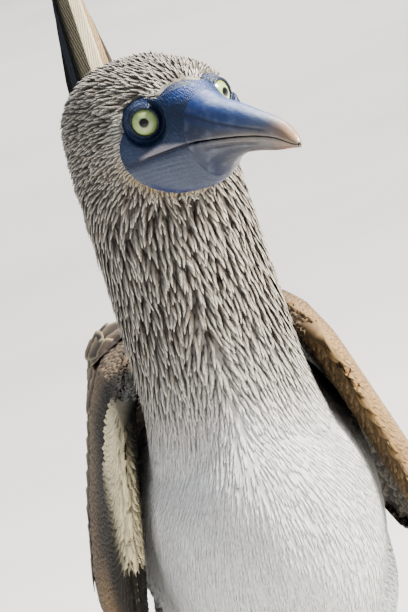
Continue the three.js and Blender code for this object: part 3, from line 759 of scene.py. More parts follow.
def small_vanes(name, spine, normal, side, half, rise, colours, places):
    """One mesh of many three-sided vanes. spine, normal and side are (n, k, 3), half and rise (n, k)."""
    n, k = half.shape
    left = spine - side * half[..., None] - normal * rise[..., None]
    right = spine + side * half[..., None] - normal * rise[..., None]
    body = np.stack([left[:, :-1], spine[:, :-1], right[:, :-1]], 2).reshape(n, -1, 3)
    points = np.concatenate([body, spine[:, -1:]], 1)
    tris = []
    for a in range(0, (k - 2) * 3, 3):
        for p, q in ((0, 1), (1, 2), (2, 0)):
            tris += [[a + p, a + q, a + q + 3], [a + p, a + q + 3, a + p + 3]]
    a, tip = (k - 2) * 3, (k - 1) * 3
    tris += [[a, a + 1, tip], [a + 1, a + 2, tip], [a + 2, a, tip], [0, 2, 1]]
    faces = vane_faces(np.array(tris), tip + 1, spine, normal, side)
    along = np.concatenate([np.repeat(np.linspace(0, 1, k)[:-1], 3), [1.0]])
    across = np.concatenate([np.tile([-1.0, 0.0, 1.0], k - 1), [0.0]])
    obj = mesh_object(name, points.reshape(-1, 3), faces)
    return mark_vanes(obj, along, across, colours, places)


def broad_vanes(name, spine, normal, side, half, camber, colours, places, webs=7, tilt=0.0):
    """One mesh of broad feathers, curved across and tilted like shingles, with a thin edge all round."""
    n, k = half.shape
    a = np.linspace(-1, 1, webs)
    half = np.maximum(half, 0.12)
    shaft = SHAFT_RISE * bell(a, 0.12) - tilt * a
    top = spine[:, :, None] + side[:, :, None] * (half[..., None] * a)[..., None]
    top = top - normal[:, :, None] * (camber[..., None] * a**2 - shaft)[..., None]
    low = top - normal[:, :, None] * VANE_THICKNESS
    per = k * webs
    points = np.concatenate([top.reshape(n, per, 3), low.reshape(n, per, 3)], 1)
    quads = []
    for c in [i * webs + j for i in range(k - 1) for j in range(webs - 1)]:
        quad = [c, c + 1, c + webs + 1, c + webs]
        quads += [quad, [per + v for v in quad[::-1]]]
    rim = [*range(webs), *range(2 * webs - 1, per, webs)]
    rim += [*range(per - 2, per - webs - 1, -1), *range(per - 2 * webs, 0, -webs)]
    quads += [[q, p, per + p, per + q] for p, q in zip(rim, rim[1:] + rim[:1])]
    faces = vane_faces(np.array(quads), 2 * per, spine, normal, side)
    along = np.tile(np.repeat(np.linspace(0, 1, k), webs), 2)
    obj = mesh_object(name, points.reshape(-1, 3), faces)
    return mark_vanes(obj, along, np.tile(np.tile(a, k), 2), colours, places)


SMALL_WIDTHS = np.array([0.6, 1.0, 0.9, 0.48, 0.0])
SMALL_SHARES = np.array([0.0, 0.34, 0.6, 0.84, 1.0])
ROOT_DEPTH = 0.35
FOLLOW = 0.6
SHAFT_HEIGHT = 0.24


def surface_tree(obj):
    """A search tree of a mesh in layout millimetres, to find the nearest place on it."""
    faces = [tuple(f.vertices) for f in obj.data.polygons]
    return BVHTree.FromPolygons(layout_points(obj).tolist(), faces)


def surface_feathers(name, tree, roots, normals, flow, sizes, colours, places, raised=None):
    """Short feathers that follow a surface along the flow and lift off it towards the tip. The sizes are
    their lengths, widths and lifts."""
    length, width, lift = sizes
    count, k = len(roots), len(SMALL_SHARES)
    spine = np.empty((count, k, 3))
    ups = np.empty((count, k, 3))
    spots, ups_now = roots.copy(), normals.copy()
    way = flow.copy()
    spine[:, 0], ups[:, 0] = roots, normals
    for i in range(1, k):
        way = unit(way - ups_now * np.einsum("ij,ij->i", way, ups_now)[:, None])
        spots = spots + way * (length * (SMALL_SHARES[i] - SMALL_SHARES[i - 1]))[:, None]
        found = [tree.find_nearest(Vector(p)) for p in spots]
        spots = np.array([tuple(f[0]) for f in found])
        fresh = np.array([tuple(f[1]) for f in found])
        ups_now = unit(ups_now * (1 - FOLLOW) + fresh * FOLLOW)
        spine[:, i], ups[:, i] = spots, ups_now
    rise = (lift + ROOT_DEPTH)[:, None] * SMALL_SHARES[None] ** 0.7 - ROOT_DEPTH
    if raised is not None:
        rise = rise + raised(spine.reshape(-1, 3)).reshape(count, k)
    spine = spine + ups * rise[..., None]
    heading = np.gradient(spine, axis=1)
    across = unit(np.cross(ups, heading))
    half = width[:, None] / 2 * SMALL_WIDTHS[None]
    return small_vanes(name, spine, ups, across, half, SHAFT_HEIGHT * half, colours, places)


def surface_samples(obj, count, seed):
    """Points spread over a mesh by area, with their normals, in layout millimetres."""
    mesh = obj.data
    mesh.calc_loop_triangles()
    tri = np.empty(len(mesh.loop_triangles) * 3, np.int32)
    mesh.loop_triangles.foreach_get("vertices", tri)
    tri = tri.reshape(-1, 3)
    points, vertex_normals = layout_points(obj), vertex_rows(obj, "normal")
    a, b, c = points[tri[:, 0]], points[tri[:, 1]], points[tri[:, 2]]
    area = np.linalg.norm(np.cross(b - a, c - a), axis=1) / 2
    local = np.random.default_rng(seed)
    pick = local.choice(len(tri), count, p=area / area.sum())
    u, v = local.random((2, count))
    over = u + v > 1
    u[over], v[over] = 1 - u[over], 1 - v[over]
    w = 1 - u - v
    found = a[pick] * w[:, None] + b[pick] * u[:, None] + c[pick] * v[:, None]
    corner = vertex_normals[tri[pick]]
    normal = unit(corner[:, 0] * w[:, None] + corner[:, 1] * u[:, None] + corner[:, 2] * v[:, None])
    return found, normal, area.sum()


def thinned(points, spacing):
    """Keeps points that are at least their spacing from the ones kept before."""
    cell = spacing.min()
    grid, kept = {}, []
    keys = np.floor(points / cell).astype(int).tolist()
    places = points.tolist()
    for i, (place, s) in enumerate(zip(places, spacing.tolist())):
        x, y, z = keys[i]
        reach = math.ceil(s / cell)
        span = range(-reach, reach + 1)
        boxes = (grid.get((x + dx, y + dy, z + dz), ()) for dx in span for dy in span for dz in span)
        if not any(math.dist(place, places[j]) < s for box in boxes for j in box):
            grid.setdefault((x, y, z), []).append(i)
            kept.append(i)
    return np.array(kept)


print("feather maker ready")

# %% [markdown]
# ## The coat
#
# Feathers grow back from the bill over the head, turn down the neck and sweep back over breast and
# belly. Their size grows from small points round the face to long lances on the neck and broad soft
# feathers on the body. On head and neck they are cream with dark bases, which is what makes the
# streaks; the breast is white.

# %% Where the feathers grow, how they lie and how they are coloured
CREAM = srgb(250, 245, 233)
WARM = srgb(212, 192, 154)
GOLD = srgb(200, 172, 124)
DARK = srgb(36, 28, 24)
MID_BROWN = srgb(84, 68, 56)
WHITE = srgb(236, 237, 238)
SOFT_GREY = srgb(196, 192, 186)
BACK_BROWN = srgb(104, 84, 66)


def body_flow(points):
    """The way the feathers lie at each point."""
    x, y, z = points.T
    beak = head_to_body(np.array([0.0, -84.0, -6.0]))
    away = unit(points - beak)
    head_share = smooth(322, 366, z)
    down = np.stack([0.05 * x / 40, np.zeros(len(x)), -np.ones(len(x))], -1)
    front = 1 - smooth(20, 110, y)
    sweep = np.stack([np.zeros(len(x)), np.ones(len(x)), -0.2 - 1.5 * front], -1)
    rump = smooth(214, 232, y) * smooth(226, 244, z)
    sweep = sweep * (1 - rump)[:, None] + np.array([0, 0.1, 1.0]) * rump[:, None]
    leg = smooth(88, 70, z) * smooth(60, 100, y)
    sweep = sweep * (1 - leg)[:, None] + np.array([0, 0.2, -1.0]) * leg[:, None]
    neck_share = smooth(190, 290, z) * (1 - smooth(40, 90, y))
    sweep = unit(sweep)
    flow = sweep * (1 - neck_share)[:, None] + down * neck_share[:, None]
    mixed = away * head_share[:, None] * 1.3 + flow * (1 - head_share)[:, None]
    mixed[:, 2] -= 0.35 * head_share
    part = smooth(312, 286, z) * smooth(200, 240, z) * bell(x + 2, 10) * (y < 0)
    mixed[:, 0] += np.clip((x + 2) / 3, -1, 1) * part * 0.3
    return mixed


def clear_of_face(points):
    """True where feathers may grow: outside the bare skin, the bill and the eyes, and not in the sockets."""
    place = head_local(points)
    rows = np.array(HEAD_ROWS)
    ahead = -place[:, 1]
    middle, half, above, below = [np.interp(ahead, rows[:, 0], rows[:, i]) for i in (1, 2, 3, 4)]
    rise = place[:, 2] - middle
    reach = np.hypot(place[:, 0] / half, rise / np.where(rise > 0, above, below))
    sunk = (ahead > 34) & ((1 - reach) * half > 3.9)
    return ((bare_edge(place) < -0.2) & ~sunk) | (points[:, 2] < EYE_HEIGHT - 46)


def face_raise(points):
    """The edge of the bare face stands higher than the skin, so feathers on it are lifted."""
    inside = smooth(-2.6, 0.2, bare_edge(head_local(points)))
    return (COAT_DEPTH + 0.1) * inside * (points[:, 2] > EYE_HEIGHT - 46)


def by_zone(sizes, *shares):
    """A size for each place: that of the back, and what each zone adds to it by its share."""
    total = sizes[0]
    for size, share in zip(sizes[1:], shares):
        total = total + size * share
    return total


FEATHER_SPACING = (2.7, -0.75, 0.55, -0.85)
FEATHER_LENGTH = (12.6, 2.6, -0.4, -4.6, -3.2)
FEATHER_WIDTH = (3.7, -1.6, -0.85, -1.1, -0.45)
candidates = 330000
coarse = 1.0
spots, spot_normals, skin_area = surface_samples(skin, candidates, 21)
neck_front = smooth(150, 205, spots[:, 2]) * (1 - smooth(40, 70, spots[:, 1]))
head_zone = smooth(325, 360, spots[:, 2])
lance_zone = smooth(222, 262, spots[:, 2]) * (1 - smooth(44, 80, spots[:, 1]))
spacing = by_zone(FEATHER_SPACING, neck_front, lance_zone, head_zone)
face_gap = -bare_edge(head_local(spots))
near_face = (1 - smooth(0, 12, face_gap)) * (spots[:, 2] > EYE_HEIGHT - 50)
spacing = (spacing - 0.5 * near_face) * coarse
keep = clear_of_face(spots)
below_wing = (np.abs(spots[:, 0]) > 40) & (spots[:, 1] > 40) & (spots[:, 1] < 200)
below_wing &= (spots[:, 2] > 135) & (spots[:, 2] < 240)
keep &= ~(below_wing & (rng.random(len(spots)) < 0.7))
spots, spot_normals, spacing = spots[keep], spot_normals[keep], spacing[keep]
chosen = thinned(spots, spacing)
roots, root_normals = spots[chosen], spot_normals[chosen]
print("skin area", round(skin_area), "square mm,", len(roots), "feathers")

# %% The colours of the coat, and the same colours on the skin


def coat_tones(points, seed):
    """Root, middle and tip colours of the feathers that grow at these points."""
    chance = np.random.default_rng(seed)
    x, y, z = points.T
    place = head_local(points)
    gap = -bare_edge(place)
    on_head = smooth(325, 360, z)
    on_neck = smooth(214, 292, z + 0.25 * np.abs(x)) * (1 - smooth(44, 80, y))
    near_face = (1 - smooth(1, 12, gap)) * (z > EYE_HEIGHT - 52)
    streak = wobble(points * np.array([1, 1, 0.35]), 0.3, 8) * 0.5
    streak += chance.normal(size=len(points)) * 0.35
    dark_share = np.clip(on_neck * (0.9 + 0.2 * streak), 0, 1)
    tip = mix(WHITE, CREAM, np.clip(on_neck + on_head, 0, 1))
    tip = mix(tip, WARM, np.clip(near_face * smooth(-4, -26, place[:, 2]) * 0.9, 0, 1))
    chin = (1 - smooth(2, 9, gap)) * smooth(-18, -30, place[:, 2]) * (place[:, 2] > -56)
    tip = mix(tip, GOLD, np.clip(chin, 0, 0.8))
    tip = mix(tip, SOFT_GREY, np.clip(0.05 + 0.16 * streak, 0, 0.4))
    middle = mix(tip, MID_BROWN, dark_share * 0.86 * (1 - 0.7 * near_face))
    root = mix(mix(tip, SOFT_GREY, 0.5), DARK, dark_share * (1 - 0.35 * near_face))
    mantle = smooth(36, 60, y) * smooth(222, 238, z) * (1 - smooth(96, 140, y)) * 0.85
    back = smooth(110, 150, y) * smooth(226, 240, z) * (1 - smooth(196, 226, y))
    brown = np.clip(back * (0.8 + 0.3 * streak) + mantle * (streak > 0.15), 0, 1)
    tip = mix(tip, BACK_BROWN, brown * 0.8)
    middle = mix(middle, DARK, brown * 0.8)
    root = mix(root, DARK, brown)
    return np.stack([root, middle, tip], 1)


skin_spots = layout_points(skin)
skin_tones = coat_tones(skin_spots, 3)
set_colour(skin, "coat", skin_tones[:, 0] * 0.9 + skin_tones[:, 1] * 0.1)
tones = coat_tones(roots, 4)
print("coat colours from", tones.min().round(3), "to", tones.max().round(3))

# %% The feathers of head, neck and body in separate coat pieces
z, y = roots[:, 2], roots[:, 1]
gap = -bare_edge(head_local(roots))
on_head = smooth(325, 360, z)
on_neck = smooth(222, 285, z) * (1 - smooth(44, 80, y))
breast = (1 - smooth(215, 265, z)) * (1 - smooth(20, 60, y))
near_face = (1 - smooth(0, 13, gap)) * (z > EYE_HEIGHT - 52)
chance = rng.random(len(roots))
length = by_zone(FEATHER_LENGTH, breast, on_neck, on_head, near_face)
length *= 0.82 + 0.36 * chance
width = by_zone(FEATHER_WIDTH, breast, on_neck, on_head, near_face)
width *= 0.82 + 0.36 * rng.random(len(roots))
clump = wobble(roots * np.array([1, 1, 0.5]), 0.16, 5)
lift = 0.6 - 0.12 * breast + 1.5 * on_neck * (0.5 + 0.8 * chance) + 0.5 * clump * on_neck
lift -= 0.9 * on_head + 0.3 * near_face
lift = np.clip(lift, 0.38, 2.4)
flow = body_flow(roots)
sway = wobble(roots * np.array([1, 1, 0.6]), 0.11, 15)
flow[:, 0] += 0.22 * sway * on_neck
flow += rng.normal(size=flow.shape) * (0.03 + 0.1 * on_neck)[:, None]
skin_tree = surface_tree(skin)
PIECE_LIMIT = 7500
coat_pieces = []
zones = np.where(z > 318, 0, np.where(on_neck > 0.3, 1, np.where(y < 60, 2, 3)))
sizes = np.stack([length, width, lift])
for zone, label in enumerate(("head", "neck", "breast", "body")):
    index = np.flatnonzero(zones == zone)
    for part in range(0, len(index), PIECE_LIMIT):
        name = f"coat_{label}_{part // PIECE_LIMIT}"
        c = index[part : part + PIECE_LIMIT]
        laid = (roots[c], root_normals[c], flow[c], sizes[:, c], tones[c], skin_place(roots[c]))
        coat_pieces.append(surface_feathers(name, skin_tree, *laid, raised=face_raise))
print("coat pieces:", [(o.name, len(o.data.polygons)) for o in coat_pieces])

# %% [markdown]
# ## The folded wings
#
# Each wing is a curved plate that hugs the flank. Its shape comes from rows of seven points down the
# plate, from the shoulder to the tips. A plain closed form carries the feathers: small coverts at the
# shoulder, larger ones behind, then rows of secondaries and the long primaries.

# %% The plate of a wing
WING_ROWS = [
    [-1, 1.2, 50, 247, 54, 235, 58, 217, 62.5, 199, 66, 181, 69.6, 163, 72, 149],
    [3, 4.6, 47.4, 251, 51.6, 237, 57, 218, 62, 199, 66.4, 179, 70.6, 159, 73, 143],
    [12, 7, 45, 255, 50.6, 238, 56.6, 218, 62, 198, 67.2, 176, 72, 154, 75, 137],
    [30, 7.4, 41, 258, 50, 243, 57, 223, 63, 202, 69.6, 178, 75, 154, 77, 130],
    [56, 7.2, 36, 261, 47, 253, 54.5, 236, 60.5, 214, 68, 188, 77, 158, 80, 126],
    [90, 7, 30, 261, 47, 252, 55, 234, 61.5, 211, 70.5, 184, 78.5, 154, 80, 121],
    [130, 6.2, 24, 259, 44, 251, 54, 232, 61, 209, 70.5, 181, 78, 152, 77, 118],
    [170, 5.4, 24, 256, 40, 248, 51.5, 230, 59.5, 207, 68, 181, 74, 154, 71, 123],
    [210, 4.6, 30, 252, 40, 245, 49, 229, 56, 208, 62, 184, 65.5, 160, 64, 137],
    [250, 3.6, 35, 247, 41, 241, 47, 227, 51.5, 210, 55, 192, 56.5, 174, 56, 158],
    [290, 2.8, 36, 240, 41, 236, 45, 226, 48, 213, 50, 200, 51, 188, 50, 178],
    [330, 2, 37, 232, 40, 228, 43, 221, 45, 213, 46, 206, 46, 199, 45, 193],
    [362, 1.2, 38, 224, 40, 221, 41, 217, 42, 213, 42, 209, 42, 206, 42, 203],
    [380, 0.7, 38.6, 218, 39.4, 216, 40, 214, 40.4, 212, 40.4, 210, 40.4, 208, 40, 207],
]
WING_SEATS = {1: (0.5, 0, 0), -1: (-0.5, 0, -7)}
wing_rows = eased(WING_ROWS, 8)


def wing_point(back, down):
    """Middle of the wing plate, its half thickness and the way out, for arrays of places."""
    back, down = np.broadcast_arrays(np.asarray(back, float), np.asarray(down, float))
    t = np.interp(back, wing_rows[:, 0], np.arange(len(wing_rows)))
    low = np.clip(t.astype(int), 0, len(wing_rows) - 2)
    share = (t - low)[..., None]
    row = wing_rows[low] * (1 - share) + wing_rows[low + 1] * share
    s = np.clip(down, -0.05, 1.05) * 6
    at = np.clip(np.floor(s).astype(int), 0, 5)
    part = s - at
    flat_row = row.reshape(-1, 16)
    flat_index, cell = np.arange(len(flat_row)), 2 * at.reshape(-1)
    x0, z0, x1, z1 = [flat_row[flat_index, cell + column] for column in (2, 3, 4, 5)]
    p = part.reshape(-1)
    x = (x0 + (x1 - x0) * p).reshape(back.shape)
    z = (z0 + (z1 - z0) * p).reshape(back.shape)
    way = unit(np.stack([x1 - x0, z1 - z0], -1).reshape(back.shape + (2,)))
    out = np.stack([-way[..., 1], np.zeros(back.shape), way[..., 0]], -1)
    return np.stack([x, back, z], -1), row[..., 1], out


def wing_place(points, side):
    """Where a point of a wing lies on the unwrap, each wing in a half of its own."""
    u = 0.02 + 0.46 * (points[:, 1] + 10) / 420 + (0.5 if side < 0 else 0.0)
    return np.stack([u, 0.02 + 0.94 * (points[:, 2] - 100) / 180], -1)


def wing_core(name, side):
    """The closed form that the wing feathers lie on."""
    backs = np.linspace(-1, 380, 110)
    downs = np.linspace(0, 1, 40)
    grid_b, grid_d = np.meshgrid(backs, downs, indexing="ij")
    middle, half, out = wing_point(grid_b, grid_d)
    edge = 0.5 + 0.5 * np.sin(np.clip(grid_d, 0.02, 0.98) * math.pi) ** 0.35
    depth = ((half * 0.9 - 0.2) * edge)[..., None] * out
    rings = np.concatenate([middle + depth, (middle - depth)[:, ::-1]], 1)
    rings[..., 0] *= side
    return loft_object(name, rings + np.array(WING_SEATS[side]))


wing_cores = {side: wing_core(f"wing_form_{label}", side) for side, label in SIDES}
print("wing forms:", [len(o.data.polygons) for o in wing_cores.values()])

# %% [markdown]
# Small coverts grow all over the front of each wing form, as on the body, and get longer to the rear.
# Behind them lie broad secondaries and long primaries with outlines of their own. Each of these follows a
# path on the plate, is cambered across its width and overlaps the next like a shingle. The colours run
# from a tan shoulder, which is painted sunlight, to dark brown primaries, with pale worn edges. Coverts
# that face in towards the flank carry painted shade, and the right wing carries a painted sunlit cream
# strip inside a painted shadow of the neck.

# %% Rows of wing feathers
VANE_SHARES = np.array([0, 0.12, 0.28, 0.46, 0.64, 0.8, 0.91, 1.0])
ROUND_TIP = np.array([0.5, 0.84, 1.0, 1.06, 1.04, 0.92, 0.7, 0.1])
LONG_TIP = np.array([0.5, 0.8, 0.98, 1.0, 0.94, 0.76, 0.5, 0.0])
# Brown of the wing in painted sunlight.
SUNLIT_TAN = srgb(164, 134, 94)
WING_BROWN = srgb(100, 79, 58)
DEEP_BROWN = srgb(50, 40, 34)
PRIMARY_DARK = srgb(40, 34, 32)
EDGE_CREAM = srgb(214, 196, 162)


def wing_feather_set(root_back, root_down, tip_back, tip_down, width, lift, outline, colours):
    """Paths on the wing plate from roots to tips, as arrays for the maker of vanes."""
    share = VANE_SHARES[None, :]
    back = root_back[:, None] + (tip_back - root_back)[:, None] * share
    down = root_down[:, None] + (tip_down - root_down)[:, None] * share
    middle, half_thick, out = wing_point(back, down)
    height = half_thick * 0.84 + lift[:, None] * (0.2 + 0.8 * share)
    spine = middle + out * height[..., None]
    heading = unit(np.gradient(spine, axis=1))
    across = unit(np.cross(out, heading))
    return [spine, out, across, width[:, None] / 2 * outline[None], colours]


# Painted light on the right wing: a cream strip of painted sunlight, and a near-black painted shadow of the
# neck.
SUNLIT_STRIP_CREAM = srgb(248, 234, 196)
NECK_SHADOW_BLACK = srgb(28, 32, 36)
COVERT_END = 158.0
WING_CANDIDATES = 90000
WING_CAMBER = 0.12
WING_TILT = 0.6


def covert_tones(points, out_way, side, seed):
    """Colours of the small feathers of a wing by place, with the left wing's sign of x, with painted
    sunlight on the front of the wing and painted shade where the feathers face the flank.
    """
    chance = np.random.default_rng(seed)
    x, y, z = points.T
    n = len(points)
    # Painted shade: feathers that face in towards the flank are darkened to three tenths. Painted sunlight
    # mixes the front of the wing towards a lit tan.
    outer = smooth(-0.1, 0.5, out_way)
    sunlit = 0.75 * (1 - smooth(20, 90, y)) + 0.25 * wobble(points, 0.09, 31)
    sunlit = sunlit + 0.1 * chance.normal(size=n)
    tan = mix(WING_BROWN, SUNLIT_TAN, np.clip(sunlit, 0, 1))
    base = mix(tan, DEEP_BROWN, smooth(40, 165, y) * 0.75)
    base = mix(base * 0.3, base, outer)
    tip_share = np.clip(0.16 + 0.16 * smooth(40, 150, y) + chance.normal(size=n) * 0.06, 0.02, 0.5)
    # On the right wing a cream strip of painted sunlight runs down the front, inside a near-black painted
    # shadow of the neck where the pale tips are dimmed too.
    if side < 0:
        sun_strip_x = 54.5 + (254 - z) / 74 * 8.6
        sun_strip = np.exp(-(((x - sun_strip_x) / 5.2) ** 4)) * (y < 30)
        sun_strip = sun_strip * smooth(176, 182, z) * smooth(254, 247, z)
        front = (1 - smooth(40, 90, y)) * smooth(82, 74, x) * smooth(262, 250, z)
        base = mix(base, NECK_SHADOW_BLACK, np.clip(front * 0.92, 0, 1))
        sun_strip_share = np.clip(sun_strip * (0.95 + 0.15 * wobble(points, 0.5, 33)), 0, 1)
        base = mix(base, SUNLIT_STRIP_CREAM, sun_strip_share)
        tip_share = tip_share * (1 - 0.8 * front)
    tip = mix(base, EDGE_CREAM, tip_share)
    root = mix(base, DEEP_BROWN, np.full(n, 0.15))
    return np.stack([root, base, tip], 1)


def way_out(points, ups, side):
    """How far the surface of a wing looks away from the flank at points given on the left side."""
    out = wing_point(np.clip(points[:, 1], 0, 379), 0.5)[2]
    return np.einsum("ij,ij->i", ups * np.array([side, 1, 1]), out)


def wing_coverts(side, label):
    """Small feathers grown all over the front of a wing, round its edges as well."""
    core = wing_cores[side]
    flipped = np.array([side, 1, 1])
    spots, ups, _ = surface_samples(core, WING_CANDIDATES, 80 + side)
    keep = spots[:, 1] < COVERT_END
    spots, ups = spots[keep], ups[keep]
    chosen = thinned(spots, (1.9 + 3.0 * smooth(30, 150, spots[:, 1])) * coarse)
    spots, ups = spots[chosen], ups[chosen]
    n = len(spots)
    chance = np.random.default_rng(90 + side)
    back = smooth(30, 150, spots[:, 1])
    length = (8.5 + 15 * back) * (0.88 + 0.24 * chance.random(n))
    width = (4.2 + 8.0 * back) * (0.9 + 0.2 * chance.random(n))
    lift = 0.45 + 0.12 * chance.random(n)
    flow = np.tile(np.array([0.0, 1.0, -0.18]), (n, 1))
    flow[:, 2] -= 1.2 * (1 - smooth(2, 16, spots[:, 1]))
    flow += chance.normal(size=flow.shape) * 0.05
    tones = covert_tones(spots * flipped, way_out(spots, ups, side), side, 95 + side)
    # The wing form takes the same colours a fifth darker, painted sunlight and shade included.
    form_points = layout_points(core)
    form_way = way_out(form_points, vertex_rows(core, "normal"), side)
    set_colour(core, "coat", covert_tones(form_points * flipped, form_way, side, 97)[:, 1] * 0.8)
    name, tree, sizes = f"wing_coverts_vanes_{label}", surface_tree(core), (length, width, lift)
    return surface_feathers(name, tree, spots, ups, flow, sizes, tones, wing_place(spots, side))


SECONDARY_TIERS = (
    ((150, 0.05), (112, 0.92), 18, 46, 18, 1.5),
    ((176, 0.06), (138, 0.95), 15, 62, 20, 1.5),
    ((204, 0.11), (170, 0.97), 14, 76, 21, 1.3),
)
PRIMARY_TIERS = ((236, 218, 0.0, 11), (222, 204, 52.0, 9))


def secondaries(local):
    """Three tiers of broad feathers, each from its upper and lower root to its count and sizes."""
    for row, (near, far, count, long, wide, lift) in enumerate(SECONDARY_TIERS):
        t = np.linspace(0, 1, count)
        root_b = near[0] + (far[0] - near[0]) * t + local.normal(size=count) * 1.2
        root_d = near[1] + (far[1] - near[1]) * t
        tip_b = root_b + long * (0.96 + 0.08 * local.random(count))
        tip_d = np.clip(root_d + 0.03 * (1 - t), 0, 1.0)
        dark = np.clip(0.55 + 0.2 * row + local.normal(size=count) * 0.12, 0, 1)
        tone = mix(WING_BROWN, DEEP_BROWN, dark)
        root_tone = mix(tone, PRIMARY_DARK, np.full(count, 0.6))
        tip_tone = mix(tone, EDGE_CREAM, np.full(count, 0.45))
        width, lift = np.full(count, float(wide)), np.full(count, lift)
        tones = np.stack([root_tone, tone, tip_tone], 1)
        yield wing_feather_set(root_b, root_d, tip_b, tip_d, width, lift, ROUND_TIP, tones)


def primaries():
    """Two tiers of long narrow feathers that gather towards the tip of the wing."""
    for row, (near, far, short, count) in enumerate(PRIMARY_TIERS):
        t = np.linspace(0, 1, count)
        root_b = near + (far - near) * t
        root_d = 0.12 + 0.82 * t
        tip_b = 404 - 104 * t**1.15 - short
        tip_d = 0.5 + (root_d - 0.5) * (0.25 + 0.35 * t)
        tone = mix(DEEP_BROWN, PRIMARY_DARK, np.clip(0.5 + 0.4 * (1 - t), 0, 1))
        tones = np.stack([tone, tone, mix(tone, EDGE_CREAM, np.full(count, 0.16))], 1)
        width, lift = 13.5 - 1.5 * t, 0.8 + 1.4 * t + row * 0.9
        yield wing_feather_set(root_b, root_d, tip_b, tip_d, width, lift, LONG_TIP, tones)


def wing_vanes(side, label):
    """All the feathers of one wing, in three pieces like the solids."""
    local = np.random.default_rng(40 + side)
    tiers = {"secondaries": list(secondaries(local)), "primaries": list(primaries())}
    made = {"coverts": wing_coverts(side, label)}
    for piece, sets in tiers.items():
        spine, out, across, half, colours = [np.concatenate(parts) for parts in zip(*sets)]
        for array in (spine, out, across):
            array[..., 0] *= side
        spine += np.array(WING_SEATS[side])
        laid = (spine, out, across, half, WING_CAMBER * half, colours, wing_place(spine[:, 0], side))
        made[piece] = broad_vanes(f"wing_{piece}_vanes_{label}", *laid, tilt=WING_TILT)
    return made


wing_feathers = {}
for side, label in SIDES:
    wing_feathers[side] = wing_vanes(side, label)
    print(label, "wing:", {k: len(o.data.polygons) for k, o in wing_feathers[side].items()})

# %% [markdown]
# ## The tail
#
# The tail is a narrow wedge that the bird holds up behind its back. Its middle pair of feathers is the
# longest and palest, and the outer ones step down in length and grow darker. Their colours carry painted
# light: a tan of painted sunlight on the bird's left, a blue-grey painted sheen and painted shade on its
# right, and one web of each feather darker, partly by its own colour and partly by painted shade. They
# grow from a small core in the rump.

# %% Tail core and tail feathers
TAIL_CORE = [
    [226, 0, 238, 18.6, 7.6],
    [250, -0.6, 243, 18.6, 7],
    [300, -1.8, 248, 13, 2.6],
    [340, -2, 248.6, 9, 1.6],
]
core = eased(TAIL_CORE, 5)
tail_core = loft_object(
    "tail_core",
    oval_rings(
        np.stack([core[:, 1], core[:, 2], core[:, 0]], -1),
        (1, 0, 0), (0, 1, 0), core[:, 3] - 1.6, core[:, 4] - 1.2, core[:, 4] - 1.2, 36,
    ),
)
core_tone = mix(srgb(226, 224, 220), srgb(60, 52, 46), smooth(252, 290, layout_points(tail_core)[:, 2]))
set_colour(tail_core, "coat", core_tone)
TAIL_SHARES = np.array([0, 0.1, 0.22, 0.36, 0.5, 0.64, 0.76, 0.86, 0.94, 1.0])
TAIL_OUTLINE = np.interp(TAIL_SHARES, [0, 0.4, 0.75, 0.92, 1], [0.9, 1.12, 0.94, 0.5, 0.0])
TAIL_ROOT = 262.0
# Tail colours carry painted light. On the bird's left, the lit side, the middle feather is cream, pale in
# its own right and in painted sunlight, and the next are a tan of painted sunlight. On its right they are
# brown, a blue-grey painted sheen and a black that is dark feather in painted shade.
TAIL_DARK_IN_SHADE = srgb(64, 64, 62)
TAIL_SHEEN_SLATE = srgb(138, 152, 176)
TAIL_BROWN = srgb(44, 37, 34)
TAIL_CREAM = srgb(198, 190, 164)
TAIL_SUNLIT_TAN = srgb(158, 134, 106)
SHADED_SIDE_TAIL = (TAIL_BROWN, TAIL_SHEEN_SLATE, TAIL_SHEEN_SLATE, TAIL_DARK_IN_SHADE, TAIL_DARK_IN_SHADE)
SUNLIT_SIDE_TAIL = (TAIL_CREAM, TAIL_SUNLIT_TAN, TAIL_SUNLIT_TAN, TAIL_BROWN, TAIL_DARK_IN_SHADE)
spines, halves, tones, places = [], [], [], []
for layer in range(5):
    for side in (-1, 1):
        top = 455.4 - 13 * layer
        share = TAIL_SHARES
        z = TAIL_ROOT + (top - TAIL_ROOT) * share
        spread = 2.3 * (layer + 0.45) * side * (1.15 - 0.5 * share)
        x = -2 + 2 * np.maximum(0, 1 - 2 * share) + spread
        y = 243 + 3.4 * np.sin(math.pi * np.minimum(0.9 * share + 0.1, 1))
        y = y + 0.9 * layer + (0.4 if side < 0 else 0)
        spines.append(np.stack([x, y, z], -1))
        halves.append(6.4 * TAIL_OUTLINE * (1 - 0.02 * layer))
        tone = (SHADED_SIDE_TAIL if side < 0 else SUNLIT_SIDE_TAIL)[layer]
        tones.append([tone * 0.8, tone, mix(tone, TAIL_CREAM, 0.15)])
        places.append([0.5 + 0.012 * layer * side, 0.975])
spines, halves = np.array(spines), np.array(halves)
count, k = halves.shape
tail_normals = np.tile(np.array([0, -1.0, 0]), (count, k, 1))
tail_across = np.tile(np.array([1.0, 0, 0]), (count, k, 1))
tail_vanes = broad_vanes(
    "tail_vanes", spines, tail_normals, tail_across, halves, 0.09 * halves,
    np.array(tones), np.array(places), webs=9,
)
print("tail vanes:", count)

# %% [markdown]
# ## Legs and feet
#
# The shanks are flattened, scaly and thicker at the joints. Three toes point forward, the outer
# longest, and the small hind toe is webbed to them too, as in all of this family of seabirds. The claws
# are pale horn.

